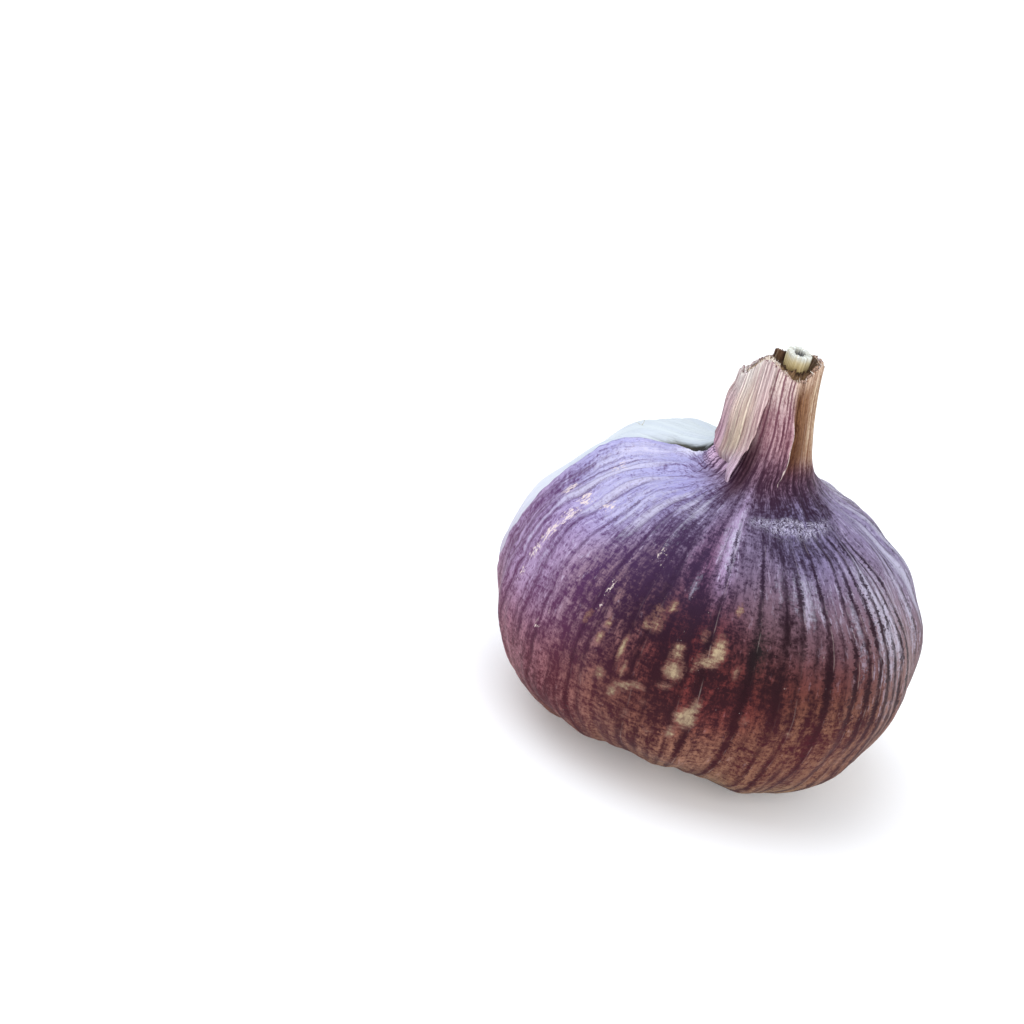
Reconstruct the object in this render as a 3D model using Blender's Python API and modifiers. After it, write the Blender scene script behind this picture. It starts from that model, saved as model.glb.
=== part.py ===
"""Garlic bulb with a cut neck, standing on its own flat base.

One purple papery skin (`outer_wrapper`) runs from the root opening over the
lobed body and up the neck as a tube. It is torn open on the far shoulder and
slit down the right of the neck; the wrapped cloves (`inner_bulb`) show there.
A partial leaf sheath (`neck_sheath`) clasps the left of the neck, a hard
stalk stub (`scape`) stands in the neck's hole and the corky `root_plate`
closes the recess under the bulb.

Frame: +Z up, origin on the floor under the centre of the box, front is -Y.
Angles run counter-clockwise from +X seen from above.
"""

import bmesh
import bpy
import numpy as np
from mathutils import Matrix, Vector

MM = 0.001

# ---- driving dimensions, millimetres -------------------------------------
# Radius and height of the skin's outer face, from the root opening up.
SKIN_PROFILE = [
    (6.8, 3.2), (9.4, 0.95), (13.2, -0.4), (17.5, 1.2), (23.5, 4.0), (29.2, 9.0),
    (32.0, 16.0), (32.7, 22.5), (30.5, 29.5), (26.0, 35.0), (20.0, 39.5),
    (13.5, 42.5), (9.2, 45.2), (7.0, 48.6), (6.35, 53.2), (5.95, 58.0), (5.75, 62.6),
]
BODY_POINTS = 12            # profile points below the neck, sampled twice as finely
BODY_STEPS = 2              # rows per profile span on the body
NECK_STEPS = 1              # rows per profile span on the neck
COLUMNS = 60                # grid columns round the bulb
SKIN_THICK = 0.7            # wall of the purple skin
INNER_DEPTH = 1.05          # skin's outer face to the wrapped cloves
INNER_BULGE = 0.85          # how far the wrapped cloves swell into an opening
INNER_FLOOR_Z = 4.6         # underside of the wrapped cloves over the root plate

# Clove ridges: direction in degrees, swelling as a share of the radius.
CLOVES = [(-47, 0.040), (-100, -0.010), (-147, 0.030), (165, 0.020),
          (118, 0.015), (66, 0.010), (14, 0.025)]
CLOVE_CURVE = 0.36          # how quickly a ridge falls away sideways
CLOVE_BLEND = 80.0          # sharpness of the valleys
CLOVE_BASE = 0.005          # share taken off so the mean radius holds
CLOVE_CENTRE_Z = 22.0       # height the cloves swell from

SHOULDER_HUMP = 3.5         # rise of the far left shoulder
NECK_DIP = 1.6              # hollow beside the neck on the left
FRONT_SAG = 0.9             # lowest clove at the front right
FRONT_LIFT = 0.45           # valley beside it at the front
NECK_SHIFT = 0.8            # neck foot off the bulb's axis, to the right
NECK_LEAN = 1.05            # drift back to the left by the top
NECK_FLAT = 0.05            # neck narrower front to back
CUT_TILT, CUT_DIRECTION = 1.2, 30.0   # slanted knife cut, high towards here
CUT_DIP, CUT_DIP_DIRECTION, CUT_DIP_WIDTH = 1.2, -72.0, 32.0

# Tear on the far shoulder: column range and the edge directions by height.
TEAR_COLUMNS = (16, 28)
TEAR_Z = (12.0, 46.0)
TEAR_HEIGHTS = [12.0, 20.0, 28.0, 33.0, 37.0, 41.0, 44.0, 47.0]
TEAR_NEAR = [178.0, 184.0, 180.0, 173.0, 168.0, 166.0, 170.0, 176.0]
TEAR_FAR = [164.0, 150.0, 128.0, 112.0, 102.0, 96.0, 96.0, 98.0]
TEAR_ANCHORS = (30.0, 250.0)   # directions the columns are not moved beyond
LIP_LIFT = 0.9              # the torn edge curls up beside the neck
# Slit down the right of the neck.
SLIT_COLUMNS = (50, 65)
SLIT_Z = 48.0

SHEATH_ANGLES = (112.0, 253.0)
SHEATH_COLUMNS = 22
SHEATH_GAP, SHEATH_THICK = 0.35, 0.65
SHEATH_PROFILE = [(8.9, 45.9), (7.9, 47.9), (6.95, 50.5), (6.45, 54.0), (6.1, 58.0), (5.85, 61.6)]
SHEATH_RAG = 0.7            # depth of the jagged top

HOLE_CENTRE = (1.1, -0.45)
HOLE_RADIUS, HOLE_FLOOR_Z = 2.75, 50.0
SCAPE_CENTRE = (0.7, -0.5)
SCAPE_PROFILE = [(0.0, 50.4), (1.85, 50.4), (1.95, 61.0), (1.95, 63.4), (1.7, 64.1),
                 (1.2, 64.0), (0.95, 63.0), (0.0, 62.8)]
SCAPE_STEPS = 24

PLATE_PROFILE = [(0.0, 2.0), (3.6, 1.9), (5.4, 2.3), (6.2, 3.2), (5.7, 4.0), (0.0, 4.1)]
PLATE_STEPS = 28
ROOT_COUNT, ROOT_RADIUS, ROOT_SIDES = 38, 0.42, 6
ROOT_RINGS = [(1.4, 6), (3.1, 12), (4.9, 20)]   # radius of a ring, roots in it
ROOT_TIP_Z, ROOT_TOP_Z = 0.55, 3.0
ROOT_SEED = 11

CUTTERS = "cutters"
PARTS = "garlic_bulb"


# ---- small helpers --------------------------------------------------------
def smooth(x, low, high):
    """0 below `low`, 1 above `high`, an S-curve between."""
    t = np.clip((x - low) / (high - low), 0.0, 1.0)
    return t * t * (3.0 - 2.0 * t)


def turn(angle_deg, centre_deg):
    """Signed angle from `centre_deg` to `angle_deg`, -180 to 180."""
    return (angle_deg - centre_deg + 180.0) % 360.0 - 180.0


def catmull(points, steps):
    """Smooth curve through `points`; `steps[i]` samples on span i."""
    p = np.array(points, float)
    p = np.vstack([2 * p[0] - p[1], p, 2 * p[-1] - p[-2]])
    rows = []
    for i, count in enumerate(steps):
        a, b, c, d = p[i:i + 4]
        for t in np.arange(count) / count:
            rows.append(0.5 * (2 * b + (c - a) * t + (2 * a - 5 * b + 4 * c - d) * t**2
                               + (3 * b - a - 3 * c + d) * t**3))
    rows.append(p[-2])
    return np.array(rows)


def patch(turns, radii, width_deg, width_r, centre_deg, centre_r):
    """Round soft patch on the skin, 1 at its centre."""
    return (np.exp(-(turn(turns, centre_deg) / width_deg)**2)
            * np.exp(-((radii - centre_r) / width_r)**2))


def clove_relief(turns):
    """Swelling of the clove ridges round the bulb, as a share of the radius."""
    total = 0.0
    for direction, swell in CLOVES:
        away = 1.0 - np.cos(np.radians(turns - direction))
        total = total + np.exp(CLOVE_BLEND * (swell - CLOVE_CURVE * away))
    return np.log(total) / CLOVE_BLEND - CLOVE_BASE


def skin_point(turns, radii, heights):
    """Outer face of the skin: direction, profile radius and height to x, y, z."""
    relief = clove_relief(turns) * smooth(radii, 8, 13)
    relief = relief * (1 - 0.65 * smooth(heights, 33, 43)) * (1 - smooth(heights, 42, 47))
    r = radii * (1 + relief)
    z = CLOVE_CENTRE_Z + (heights - CLOVE_CENTRE_Z) * (1 + relief * (1 - smooth(heights, 20, 30)))
    low = 1 - smooth(heights, 6, 14)
    z = z - FRONT_SAG * patch(turns, radii, 26, 7, -47, 22) * low
    z = z + FRONT_LIFT * patch(turns, radii, 24, 6, -103, 23) * low
    high = smooth(heights, 30, 38)
    hump = SHOULDER_HUMP * patch(turns, radii, 41, 9.3, 139, 17.9) * high
    hump = hump - NECK_DIP * patch(turns, radii, 50, 4.5, 205, 9.5) * high
    z = z + 0.95 * hump
    r = r + 0.25 * np.maximum(hump, 0)
    shift = NECK_SHIFT * smooth(heights, 40, 48) - NECK_LEAN * smooth(heights, 50, 63)
    x = shift + r * np.cos(np.radians(turns))
    y = r * np.sin(np.radians(turns)) * (1 - NECK_FLAT * smooth(heights, 46, 52))
    cut = CUT_TILT * np.cos(np.radians(turns - CUT_DIRECTION))
    cut = cut - CUT_DIP * np.exp(-(turn(turns, CUT_DIP_DIRECTION) / CUT_DIP_WIDTH)**2)
    z = z + cut * smooth(heights, 54, 62)
    return np.stack([x, y, np.maximum(z, 0.0)], -1)


def normals(grid, wrap):
    """Unit normals of a grid of points, rows upward and columns round."""
    if wrap:
        across = np.roll(grid, -1, 1) - np.roll(grid, 1, 1)
    else:
        across = np.gradient(grid, axis=1)
    n = np.cross(across, np.gradient(grid, axis=0))
    return n / np.linalg.norm(n, axis=-1, keepdims=True)


def body_rows():
    """Profile rows shared by the skin and the wrapped cloves."""
    spans = len(SKIN_PROFILE) - 1
    return catmull(SKIN_PROFILE, [BODY_STEPS if i < BODY_POINTS else NECK_STEPS for i in range(spans)])


def column_turns(heights):
    """Direction of every column at every row, drawn aside to follow the tear."""
    base = np.arange(COLUMNS) * 360.0 / COLUMNS
    far, near = (c * 360.0 / COLUMNS for c in TEAR_COLUMNS)
    out = []
    for height in heights:
        marks = [TEAR_ANCHORS[0], np.interp(height, TEAR_HEIGHTS, TEAR_FAR),
                 np.interp(height, TEAR_HEIGHTS, TEAR_NEAR), TEAR_ANCHORS[1]]
        out.append(np.interp(base, [0, TEAR_ANCHORS[0], far, near, TEAR_ANCHORS[1], 360],
                             [0] + marks + [360]))
    return np.array(out)


def opening_depth(heights, columns_in):
    """How far into the openings each grid point lies, 0 at a margin to 1."""
    cols = np.arange(COLUMNS)
    tear = np.minimum(cols - TEAR_COLUMNS[0], TEAR_COLUMNS[1] - cols)
    slit_cols = np.where(cols < SLIT_COLUMNS[1] - COLUMNS + 1, cols + COLUMNS, cols)
    slit = np.minimum(slit_cols - SLIT_COLUMNS[0], SLIT_COLUMNS[1] - slit_cols)
    side = lambda count: np.clip(count / columns_in, 0, 1)[None, :]
    z = heights[:, None]
    in_tear = side(tear) * smooth(z, TEAR_Z[0] + 2, TEAR_Z[0] + 9) * (1 - smooth(z, TEAR_Z[1] - 4, TEAR_Z[1]))
    in_slit = side(slit) * smooth(z, SLIT_Z + 1.0, SLIT_Z + 4)
    return np.maximum(in_tear, in_slit)


def material(name, colour, roughness):
    """Principled material with plain values."""
    made = bpy.data.materials.new(name)
    made.use_nodes = True
    shader = made.node_tree.nodes["Principled BSDF"]
    shader.inputs["Base Color"].default_value = (*colour, 1.0)
    shader.inputs["Roughness"].default_value = roughness
    shader.inputs["Metallic"].default_value = 0.0
    made.diffuse_color = (*colour, 1.0)
    return made


def collection(name):
    """New collection linked to the scene."""
    made = bpy.data.collections.new(name)
    bpy.context.scene.collection.children.link(made)
    return made


def mesh_object(name, points, faces, home):
    """Object from points in millimetres and faces."""
    mesh = bpy.data.meshes.new(name)
    mesh.from_pydata([tuple(float(v) * MM for v in p) for p in points], [], faces)
    mesh.update()
    made = bpy.data.objects.new(name, mesh)
    home.objects.link(made)
    return made


def apply_modifiers(obj):
    """Bake the modifier stack into the object's own mesh."""
    graph = bpy.context.evaluated_depsgraph_get()
    baked = bpy.data.meshes.new_from_object(obj.evaluated_get(graph))
    obj.modifiers.clear()
    obj.data = baked


def shade_smooth(obj):
    """Smooth shading on every face."""
    obj.data.polygons.foreach_set("use_smooth", [True] * len(obj.data.polygons))


def finish(obj, surface):
    """Give the part its material and smooth shading."""
    obj.data.materials.clear()
    obj.data.materials.append(surface)
    shade_smooth(obj)
    return obj


def solidify(obj, thick):
    """Thicken an open sheet inwards into a closed shell."""
    mod = obj.modifiers.new("wall", "SOLIDIFY")
    mod.thickness = thick * MM
    mod.offset = -1.0
    mod.use_even_offset = True
    apply_modifiers(obj)


def turned(name, profile, centre, steps, home):
    """Solid of revolution about an upright axis, from (radius, height) pairs."""
    points = [(centre[0], centre[1], profile[0][1])]
    for radius, height in profile[1:-1]:
        for k in range(steps):
            a = 2 * np.pi * k / steps
            points.append((centre[0] + radius * np.cos(a), centre[1] + radius * np.sin(a), height))
    points.append((centre[0], centre[1], profile[-1][1]))
    faces = closed_faces(len(profile) - 2, steps)
    return mesh_object(name, points, faces, home)


def closed_faces(rows, columns):
    """Faces of a closed grid: bottom pole, rows of columns, top pole."""
    at = lambda i, j: 1 + i * columns + j % columns
    faces = [(0, at(0, j + 1), at(0, j)) for j in range(columns)]
    for i in range(rows - 1):
        faces += [(at(i, j), at(i, j + 1), at(i + 1, j + 1), at(i + 1, j)) for j in range(columns)]
    pole = 1 + rows * columns
    return faces + [(at(rows - 1, j), at(rows - 1, j + 1), pole) for j in range(columns)]


def boolean(obj, kind, cutter=None, group=None, solver="EXACT"):
    """One Boolean on an object, with one object or a whole collection."""
    mod = obj.modifiers.new("cut", "BOOLEAN")
    mod.operation = kind
    mod.solver = solver
    if group is not None:
        mod.operand_type = "COLLECTION"
        mod.collection = group
    else:
        mod.object = cutter
    apply_modifiers(obj)


def hide_cutter(obj):
    """Mark an object as a cutting tool."""
    obj.hide_render = True
    obj.display_type = "WIRE"


# ---- the parts ------------------------------------------------------------
def build_outer_wrapper(home):
    """Purple skin: one shell from the root opening to the cut neck."""
    rows = body_rows()
    heights = rows[:, 1]
    turns = column_turns(heights)
    grid = skin_point(turns, rows[:, :1], rows[:, 1:])
    lip = np.exp(-((np.arange(COLUMNS) - TEAR_COLUMNS[1]) / 1.4)**2)[None, :]
    lip = lip * smooth(heights, 36, 41)[:, None] * (1 - smooth(heights, 43, 47))[:, None]
    grid = grid + LIP_LIFT * lip[..., None] * normals(grid, True)
    count = len(rows)
    at = lambda i, j: i * COLUMNS + j % COLUMNS
    faces = []
    for i in range(count - 1):
        low, high = heights[i], heights[i + 1]
        for j in range(COLUMNS):
            torn = TEAR_COLUMNS[0] <= j < TEAR_COLUMNS[1] and low >= TEAR_Z[0] and high <= TEAR_Z[1]
            wrapped = j + COLUMNS if j < SLIT_COLUMNS[1] - COLUMNS else j
            slit = SLIT_COLUMNS[0] <= wrapped < SLIT_COLUMNS[1] and low >= SLIT_Z
            if not (torn or slit):
                faces.append((at(i, j), at(i, j + 1), at(i + 1, j + 1), at(i + 1, j)))
    obj = mesh_object("outer_wrapper", grid.reshape(-1, 3), faces, home)
    drop_loose(obj)
    solidify(obj, SKIN_THICK)
    return finish(obj, material("purple_skin", (0.30, 0.14, 0.28), 0.5))


def drop_loose(obj):
    """Remove points that no face uses."""
    bm = bmesh.new()
    bm.from_mesh(obj.data)
    bmesh.ops.delete(bm, geom=[v for v in bm.verts if not v.link_faces], context="VERTS")
    bm.to_mesh(obj.data)
    bm.free()


def build_inner_bulb(home, tools):
    """Wrapped cloves: a solid that follows the skin inside and up the neck."""
    rows = body_rows()
    turns = column_turns(rows[:, 1])
    grid = skin_point(turns, rows[:, :1], rows[:, 1:])
    bulge = opening_depth(rows[:, 1], 1.6)
    grid = grid - (INNER_DEPTH - INNER_BULGE * bulge)[..., None] * normals(grid, True)
    grid[-1, :, 2] -= 0.4
    under = grid[0].mean(axis=0)
    points = [(under[0], under[1], INNER_FLOOR_Z)]
    ring = under + 0.55 * (grid[0] - under)
    ring[:, 2] = INNER_FLOOR_Z
    points += [tuple(p) for p in ring] + [tuple(p) for p in grid.reshape(-1, 3)]
    top = grid[-1].mean(axis=0)
    points.append(tuple(top))
    obj = mesh_object("inner_bulb", points, closed_faces(len(rows) + 1, COLUMNS), home)
    depth = SKIN_PROFILE[-1][1] + 6.0
    cutter = turned("neck_hole", [(0, HOLE_FLOOR_Z), (HOLE_RADIUS, HOLE_FLOOR_Z), (HOLE_RADIUS, depth), (0, depth)],
                    HOLE_CENTRE, SCAPE_STEPS, tools)
    hide_cutter(cutter)
    boolean(obj, "DIFFERENCE", cutter)
    return finish(obj, material("inner_skin", (0.72, 0.66, 0.60), 0.5))


def build_neck_sheath(home):
    """Outermost dry leaf base, clasping the left of the neck."""
    rows = catmull(SHEATH_PROFILE, [2] * (len(SHEATH_PROFILE) - 1))
    turns = np.linspace(*SHEATH_ANGLES, SHEATH_COLUMNS + 1)[None, :] * np.ones((len(rows), 1))
    skin = skin_point(turns, rows[:, :1], rows[:, 1:])
    grid = skin + (SHEATH_GAP + SHEATH_THICK) * normals(skin, False)
    rag = SHEATH_RAG * np.array([(1, -1, 0.3)[k % 3] for k in range(SHEATH_COLUMNS + 1)])
    grid[..., 2] += rag[None, :] * smooth(rows[:, 1:], 58, 61.5)
    across = SHEATH_COLUMNS + 1
    faces = [(i * across + j, i * across + j + 1, (i + 1) * across + j + 1, (i + 1) * across + j)
             for i in range(len(rows) - 1) for j in range(SHEATH_COLUMNS)]
    obj = mesh_object("neck_sheath", grid.reshape(-1, 3), faces, home)
    solidify(obj, SHEATH_THICK)
    return finish(obj, material("dry_leaf", (0.66, 0.54, 0.47), 0.6))


def build_scape(home):
    """Hard stalk stub with a pithy pit in its cut top."""
    obj = turned("scape", SCAPE_PROFILE, SCAPE_CENTRE, SCAPE_STEPS, home)
    return finish(obj, material("stalk", (0.74, 0.67, 0.48), 0.55))


def build_root_plate(home, tools):
    """Corky disc under the bulb with its trimmed root stubs."""
    obj = turned("root_plate", PLATE_PROFILE, (0.0, 0.0), PLATE_STEPS, home)
    rng = np.random.default_rng(ROOT_SEED)
    for ring_radius, count in ROOT_RINGS:
        for k in range(count):
            angle = 2 * np.pi * (k + 0.3 * rng.random()) / count
            root = turned("root", [(0, ROOT_TIP_Z), (ROOT_RADIUS * 0.8, ROOT_TIP_Z), (ROOT_RADIUS, ROOT_TOP_Z),
                                   (0, ROOT_TOP_Z)], (0.0, 0.0), ROOT_SIDES, tools)
            lean = Matrix.Rotation(0.12 * rng.standard_normal(), 4, "X")
            place = Matrix.Translation(Vector((ring_radius * np.cos(angle), ring_radius * np.sin(angle),
                                               0.5 * rng.random())) * MM)
            root.data.transform(place @ lean)
    boolean(obj, "UNION", group=tools)
    for root in list(tools.objects):
        bpy.data.objects.remove(root)
    return finish(obj, material("cork", (0.36, 0.27, 0.18), 0.85))


def centre_on_box(parts):
    """Slide everything so the box is centred over the origin."""
    points = np.array([v.co for part in parts for v in part.data.vertices])
    middle = (points.min(axis=0) + points.max(axis=0)) / 2
    for part in parts:
        part.data.transform(Matrix.Translation((-middle[0], -middle[1], -points[:, 2].min())))


def main():
    """Build the whole bulb."""
    for old in list(bpy.data.objects):
        bpy.data.objects.remove(old)
    home = collection(PARTS)
    tools = collection(CUTTERS)
    roots = collection("root_tools")
    parts = [build_outer_wrapper(home), build_inner_bulb(home, tools), build_neck_sheath(home),
             build_scape(home), build_root_plate(home, roots)]
    centre_on_box(parts)
    for part in parts:
        print(part.name, sum(len(p.vertices) - 2 for p in part.data.polygons))


main()
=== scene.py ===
"""Dress the garlic bulb: papery skins, dry neck, stalk stub and roots.

Sizes are in millimetres in the bulb's own frame (axis up through the middle
of the root plate, floor at height 0) and become metres when a mesh is made.
Directions are degrees counter-clockwise from +X seen from above, so the
front is -90.
"""

import logging
import math
from dataclasses import dataclass, field

import bpy
import numpy as np
from mathutils import Matrix, Vector


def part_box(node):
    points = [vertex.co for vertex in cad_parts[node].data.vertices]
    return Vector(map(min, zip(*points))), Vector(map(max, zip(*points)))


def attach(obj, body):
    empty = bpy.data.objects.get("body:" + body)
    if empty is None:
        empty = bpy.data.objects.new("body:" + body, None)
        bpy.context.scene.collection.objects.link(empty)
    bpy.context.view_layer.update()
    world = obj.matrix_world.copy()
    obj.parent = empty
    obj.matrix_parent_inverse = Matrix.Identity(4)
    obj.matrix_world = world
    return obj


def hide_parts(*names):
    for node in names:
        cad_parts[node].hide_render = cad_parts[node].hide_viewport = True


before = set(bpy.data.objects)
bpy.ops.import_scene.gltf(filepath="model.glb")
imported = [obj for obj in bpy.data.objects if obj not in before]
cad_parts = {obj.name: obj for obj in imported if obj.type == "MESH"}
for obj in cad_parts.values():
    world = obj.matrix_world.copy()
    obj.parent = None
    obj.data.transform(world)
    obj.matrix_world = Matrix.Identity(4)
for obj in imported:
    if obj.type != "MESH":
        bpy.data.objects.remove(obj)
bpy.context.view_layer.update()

LOG = logging.getLogger("garlic_bulb")
MM = 0.001
FULL_TURN = 360.0
GOLDEN_ANGLE = 2.39996
LAY_UNIT = 10.0      # millimetres in one unit of the patterns' own coordinates


Profile = tuple[tuple[float, float], ...]

# --------------------------------------------------------------------------
# Small maths
# --------------------------------------------------------------------------
def smooth(x: np.ndarray, low: float, high: float) -> np.ndarray:
    """S-curve from 0 at `low` to 1 at `high`: 3t^2 - 2t^3."""
    t = np.clip((np.asarray(x, float) - low) / (high - low), 0.0, 1.0)
    return t * t * (3.0 - 2.0 * t)


def drop(x: np.ndarray, low: float, high: float) -> np.ndarray:
    """S-curve from 1 at `low` to 0 at `high`."""
    return 1 - smooth(x, low, high)


def away(turns: np.ndarray, centre: float) -> np.ndarray:
    """Signed angle from `centre` to `turns`, -180 to 180 degrees."""
    return (np.asarray(turns, float) - centre + 180.0) % FULL_TURN - 180.0


def bell(x: np.ndarray, width: float) -> np.ndarray:
    """Gaussian bell: exp(-(x / width)^2)."""
    return np.exp(-((x / width) ** 2))


def around(turns: np.ndarray, centre: float, width: float) -> np.ndarray:
    """Bell over the angle from `centre`."""
    return bell(away(turns, centre), width)


def circle(radius: np.ndarray, turns: np.ndarray) -> tuple[np.ndarray, np.ndarray]:
    """Points (x, y) at a radius and a direction from the axis."""
    angle = np.radians(turns)
    return radius * np.cos(angle), radius * np.sin(angle)


def even_turns(columns: int, rows: int = 1) -> np.ndarray:
    """Directions of evenly spaced columns, the same on every row."""
    return np.broadcast_to(np.arange(columns) * FULL_TURN / columns, (rows, columns))


def catmull(points: list[tuple[float, float]], steps: list[int]) -> np.ndarray:
    """Catmull-Rom curve through points.

    Args:
        points: (radius, height) pairs.
        steps: samples on each span.

    Returns:
        Array of (radius, height) rows; each span is the uniform cubic
        0.5 (2b + (c-a)t + (2a-5b+4c-d)t^2 + (3b-a-3c+d)t^3).
    """
    p = np.array(points, float)
    p = np.vstack([2 * p[0] - p[1], p, 2 * p[-1] - p[-2]])
    rows = []
    for i, count in enumerate(steps):
        a, b, c, d = p[i : i + 4]
        t = (np.arange(count) / count)[:, None]
        rows.append(0.5 * (2 * b + (c - a) * t + (2 * a - 5 * b + 4 * c - d) * t**2
                           + (3 * b - a - 3 * c + d) * t**3))
    rows.append(p[-2][None])
    return np.vstack(rows)


def arc_length(rows: np.ndarray) -> np.ndarray:
    """Distance run along a profile at each of its rows."""
    return np.concatenate([[0.0], np.cumsum(np.hypot(*np.diff(rows, axis=0).T))])


def waves(turns: np.ndarray, along: np.ndarray, counts: tuple[int, int], seed: int,
          wander: float = 0.6, terms: int = 14) -> np.ndarray:
    """Irregular ribs round the bulb, about -1 to 1.

    Args:
        turns: directions in degrees.
        along: distance along the profile in millimetres.
        counts: least and most ribs round the bulb.
        seed: choice of ribs.
        wander: how far a rib drifts sideways as it runs, in its own widths.
        terms: number of rib sets added.

    Returns:
        Sum of cosines of whole multiples of the turn whose phases drift
        slowly with the distance, divided by the root of half their number.
    """
    rng = np.random.default_rng(seed)
    total = np.zeros(np.broadcast(turns, along).shape)
    for _ in range(terms):
        count = int(rng.integers(counts[0], counts[1] + 1))
        phase, pace, start = rng.uniform(0, 2 * np.pi, 3)
        drift = wander * np.sin(along / (9.0 + 6.0 * pace / np.pi) + start)
        total += np.cos(np.radians(turns) * count + phase + drift * np.pi)
    return total / math.sqrt(terms / 2)


def ripple(turns: np.ndarray, along: np.ndarray, size: float, seed: int, terms: int = 24) -> np.ndarray:
    """Soft random relief with no direction, about -1 to 1.

    Args:
        turns: directions in degrees.
        along: distance along the profile in millimetres.
        size: wavelength in millimetres at the equator.
        seed: choice of waves.
        terms: number of waves.

    Returns:
        Sum of cosines of plane waves over (equator arc, distance) whose
        round-the-bulb part is a whole number of waves.
    """
    rng = np.random.default_rng(seed)
    total = np.zeros(np.broadcast(turns, along).shape)
    girth = 2 * np.pi * EQUATOR
    for _ in range(terms):
        heading, phase = rng.uniform(0, 2 * np.pi, 2)
        wave = size * rng.uniform(0.75, 1.5)
        count = round(girth / wave * math.cos(heading))
        total += np.cos(np.radians(turns) * count + along * 2 * np.pi * math.sin(heading) / wave + phase)
    return total / math.sqrt(terms / 2)


def ribs(turns: np.ndarray, along: np.ndarray, count: int, seed: int, wander: float = 0.3) -> np.ndarray:
    """Depth, 0 to 1, of the narrow valleys between rounded ribs.

    Args:
        turns: directions in degrees.
        along: distance along the profile in millimetres.
        count: ribs round the whole bulb.
        seed: choice of wander and strengths.
        wander: sideways drift in ribs.

    Returns:
        1 in the middle of a strong valley; every valley has its own strength
        and comes and goes along its length.
    """
    rng = np.random.default_rng(seed)
    phase = turns * count / FULL_TURN + wander * ripple(turns, along * 0.30, 16.0, seed + 1)
    phase = phase + 0.05 * ripple(turns, along, 5.0, seed + 2)
    line = np.round(phase)
    strength = rng.uniform(0.45, 1.0, count)[line.astype(int) % count]
    fade = np.clip(0.85 + 0.30 * ripple(turns, along, 7.0, seed + 3), 0.0, 1.0)
    return smooth(1 - 2 * np.abs(phase - line), 0.25, 0.95) * strength * fade


def normals(grid: np.ndarray, wrap: bool) -> np.ndarray:
    """Unit normals of a grid of points: cross product of its two slopes."""
    if wrap:
        across = np.roll(grid, -1, 1) - np.roll(grid, 1, 1)
    else:
        across = np.gradient(grid, axis=1)
    n = np.cross(across, np.gradient(grid, axis=0))
    return n / np.maximum(np.linalg.norm(n, axis=-1, keepdims=True), 1e-9)


def ink(red: int, green: int, blue: int) -> tuple[float, float, float]:
    """Screen colour 0-255 to linear light, by the standard screen curve."""
    shares = (red / 255, green / 255, blue / 255)
    return tuple(((c + 0.055) / 1.055) ** 2.4 if c > 0.04 else c / 12.92 for c in shares)


# --------------------------------------------------------------------------
# The bulb's form, the same rule as the solids
# --------------------------------------------------------------------------
SKIN_PROFILE = [
    (6.8, 3.2), (9.4, 0.95), (13.2, -0.4), (17.5, 1.2), (23.5, 4.0), (29.2, 9.0),
    (32.0, 16.0), (32.7, 22.5), (30.5, 29.5), (26.0, 35.0), (20.0, 39.5),
    (13.5, 42.5), (9.2, 45.2), (7.0, 48.6), (6.35, 53.2), (5.95, 58.0), (5.75, 62.6),
]
EQUATOR = max(radius for radius, _ in SKIN_PROFILE)
RIM_HEIGHT = SKIN_PROFILE[-1][1]
# direction and swelling, as a share of the radius, of each clove
CLOVES = [(-47, 0.040), (-100, -0.010), (-147, 0.030), (165, 0.020), (118, 0.015), (66, 0.010), (14, 0.025)]
CLOVE_CURVE, CLOVE_BLEND, CLOVE_BASE, CLOVE_CENTRE_Z = 0.36, 80.0, 0.005, 22.0


@dataclass(frozen=True)
class Patch:
    """Round soft rise or hollow on the skin."""

    height: float
    half_turn: float
    half_radius: float
    turn: float
    radius: float

    def at(self, turns: np.ndarray, radii: np.ndarray) -> np.ndarray:
        """Height of the patch at each point, millimetres."""
        across = around(turns, self.turn, self.half_turn)
        return self.height * across * bell(radii - self.radius, self.half_radius)


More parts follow.
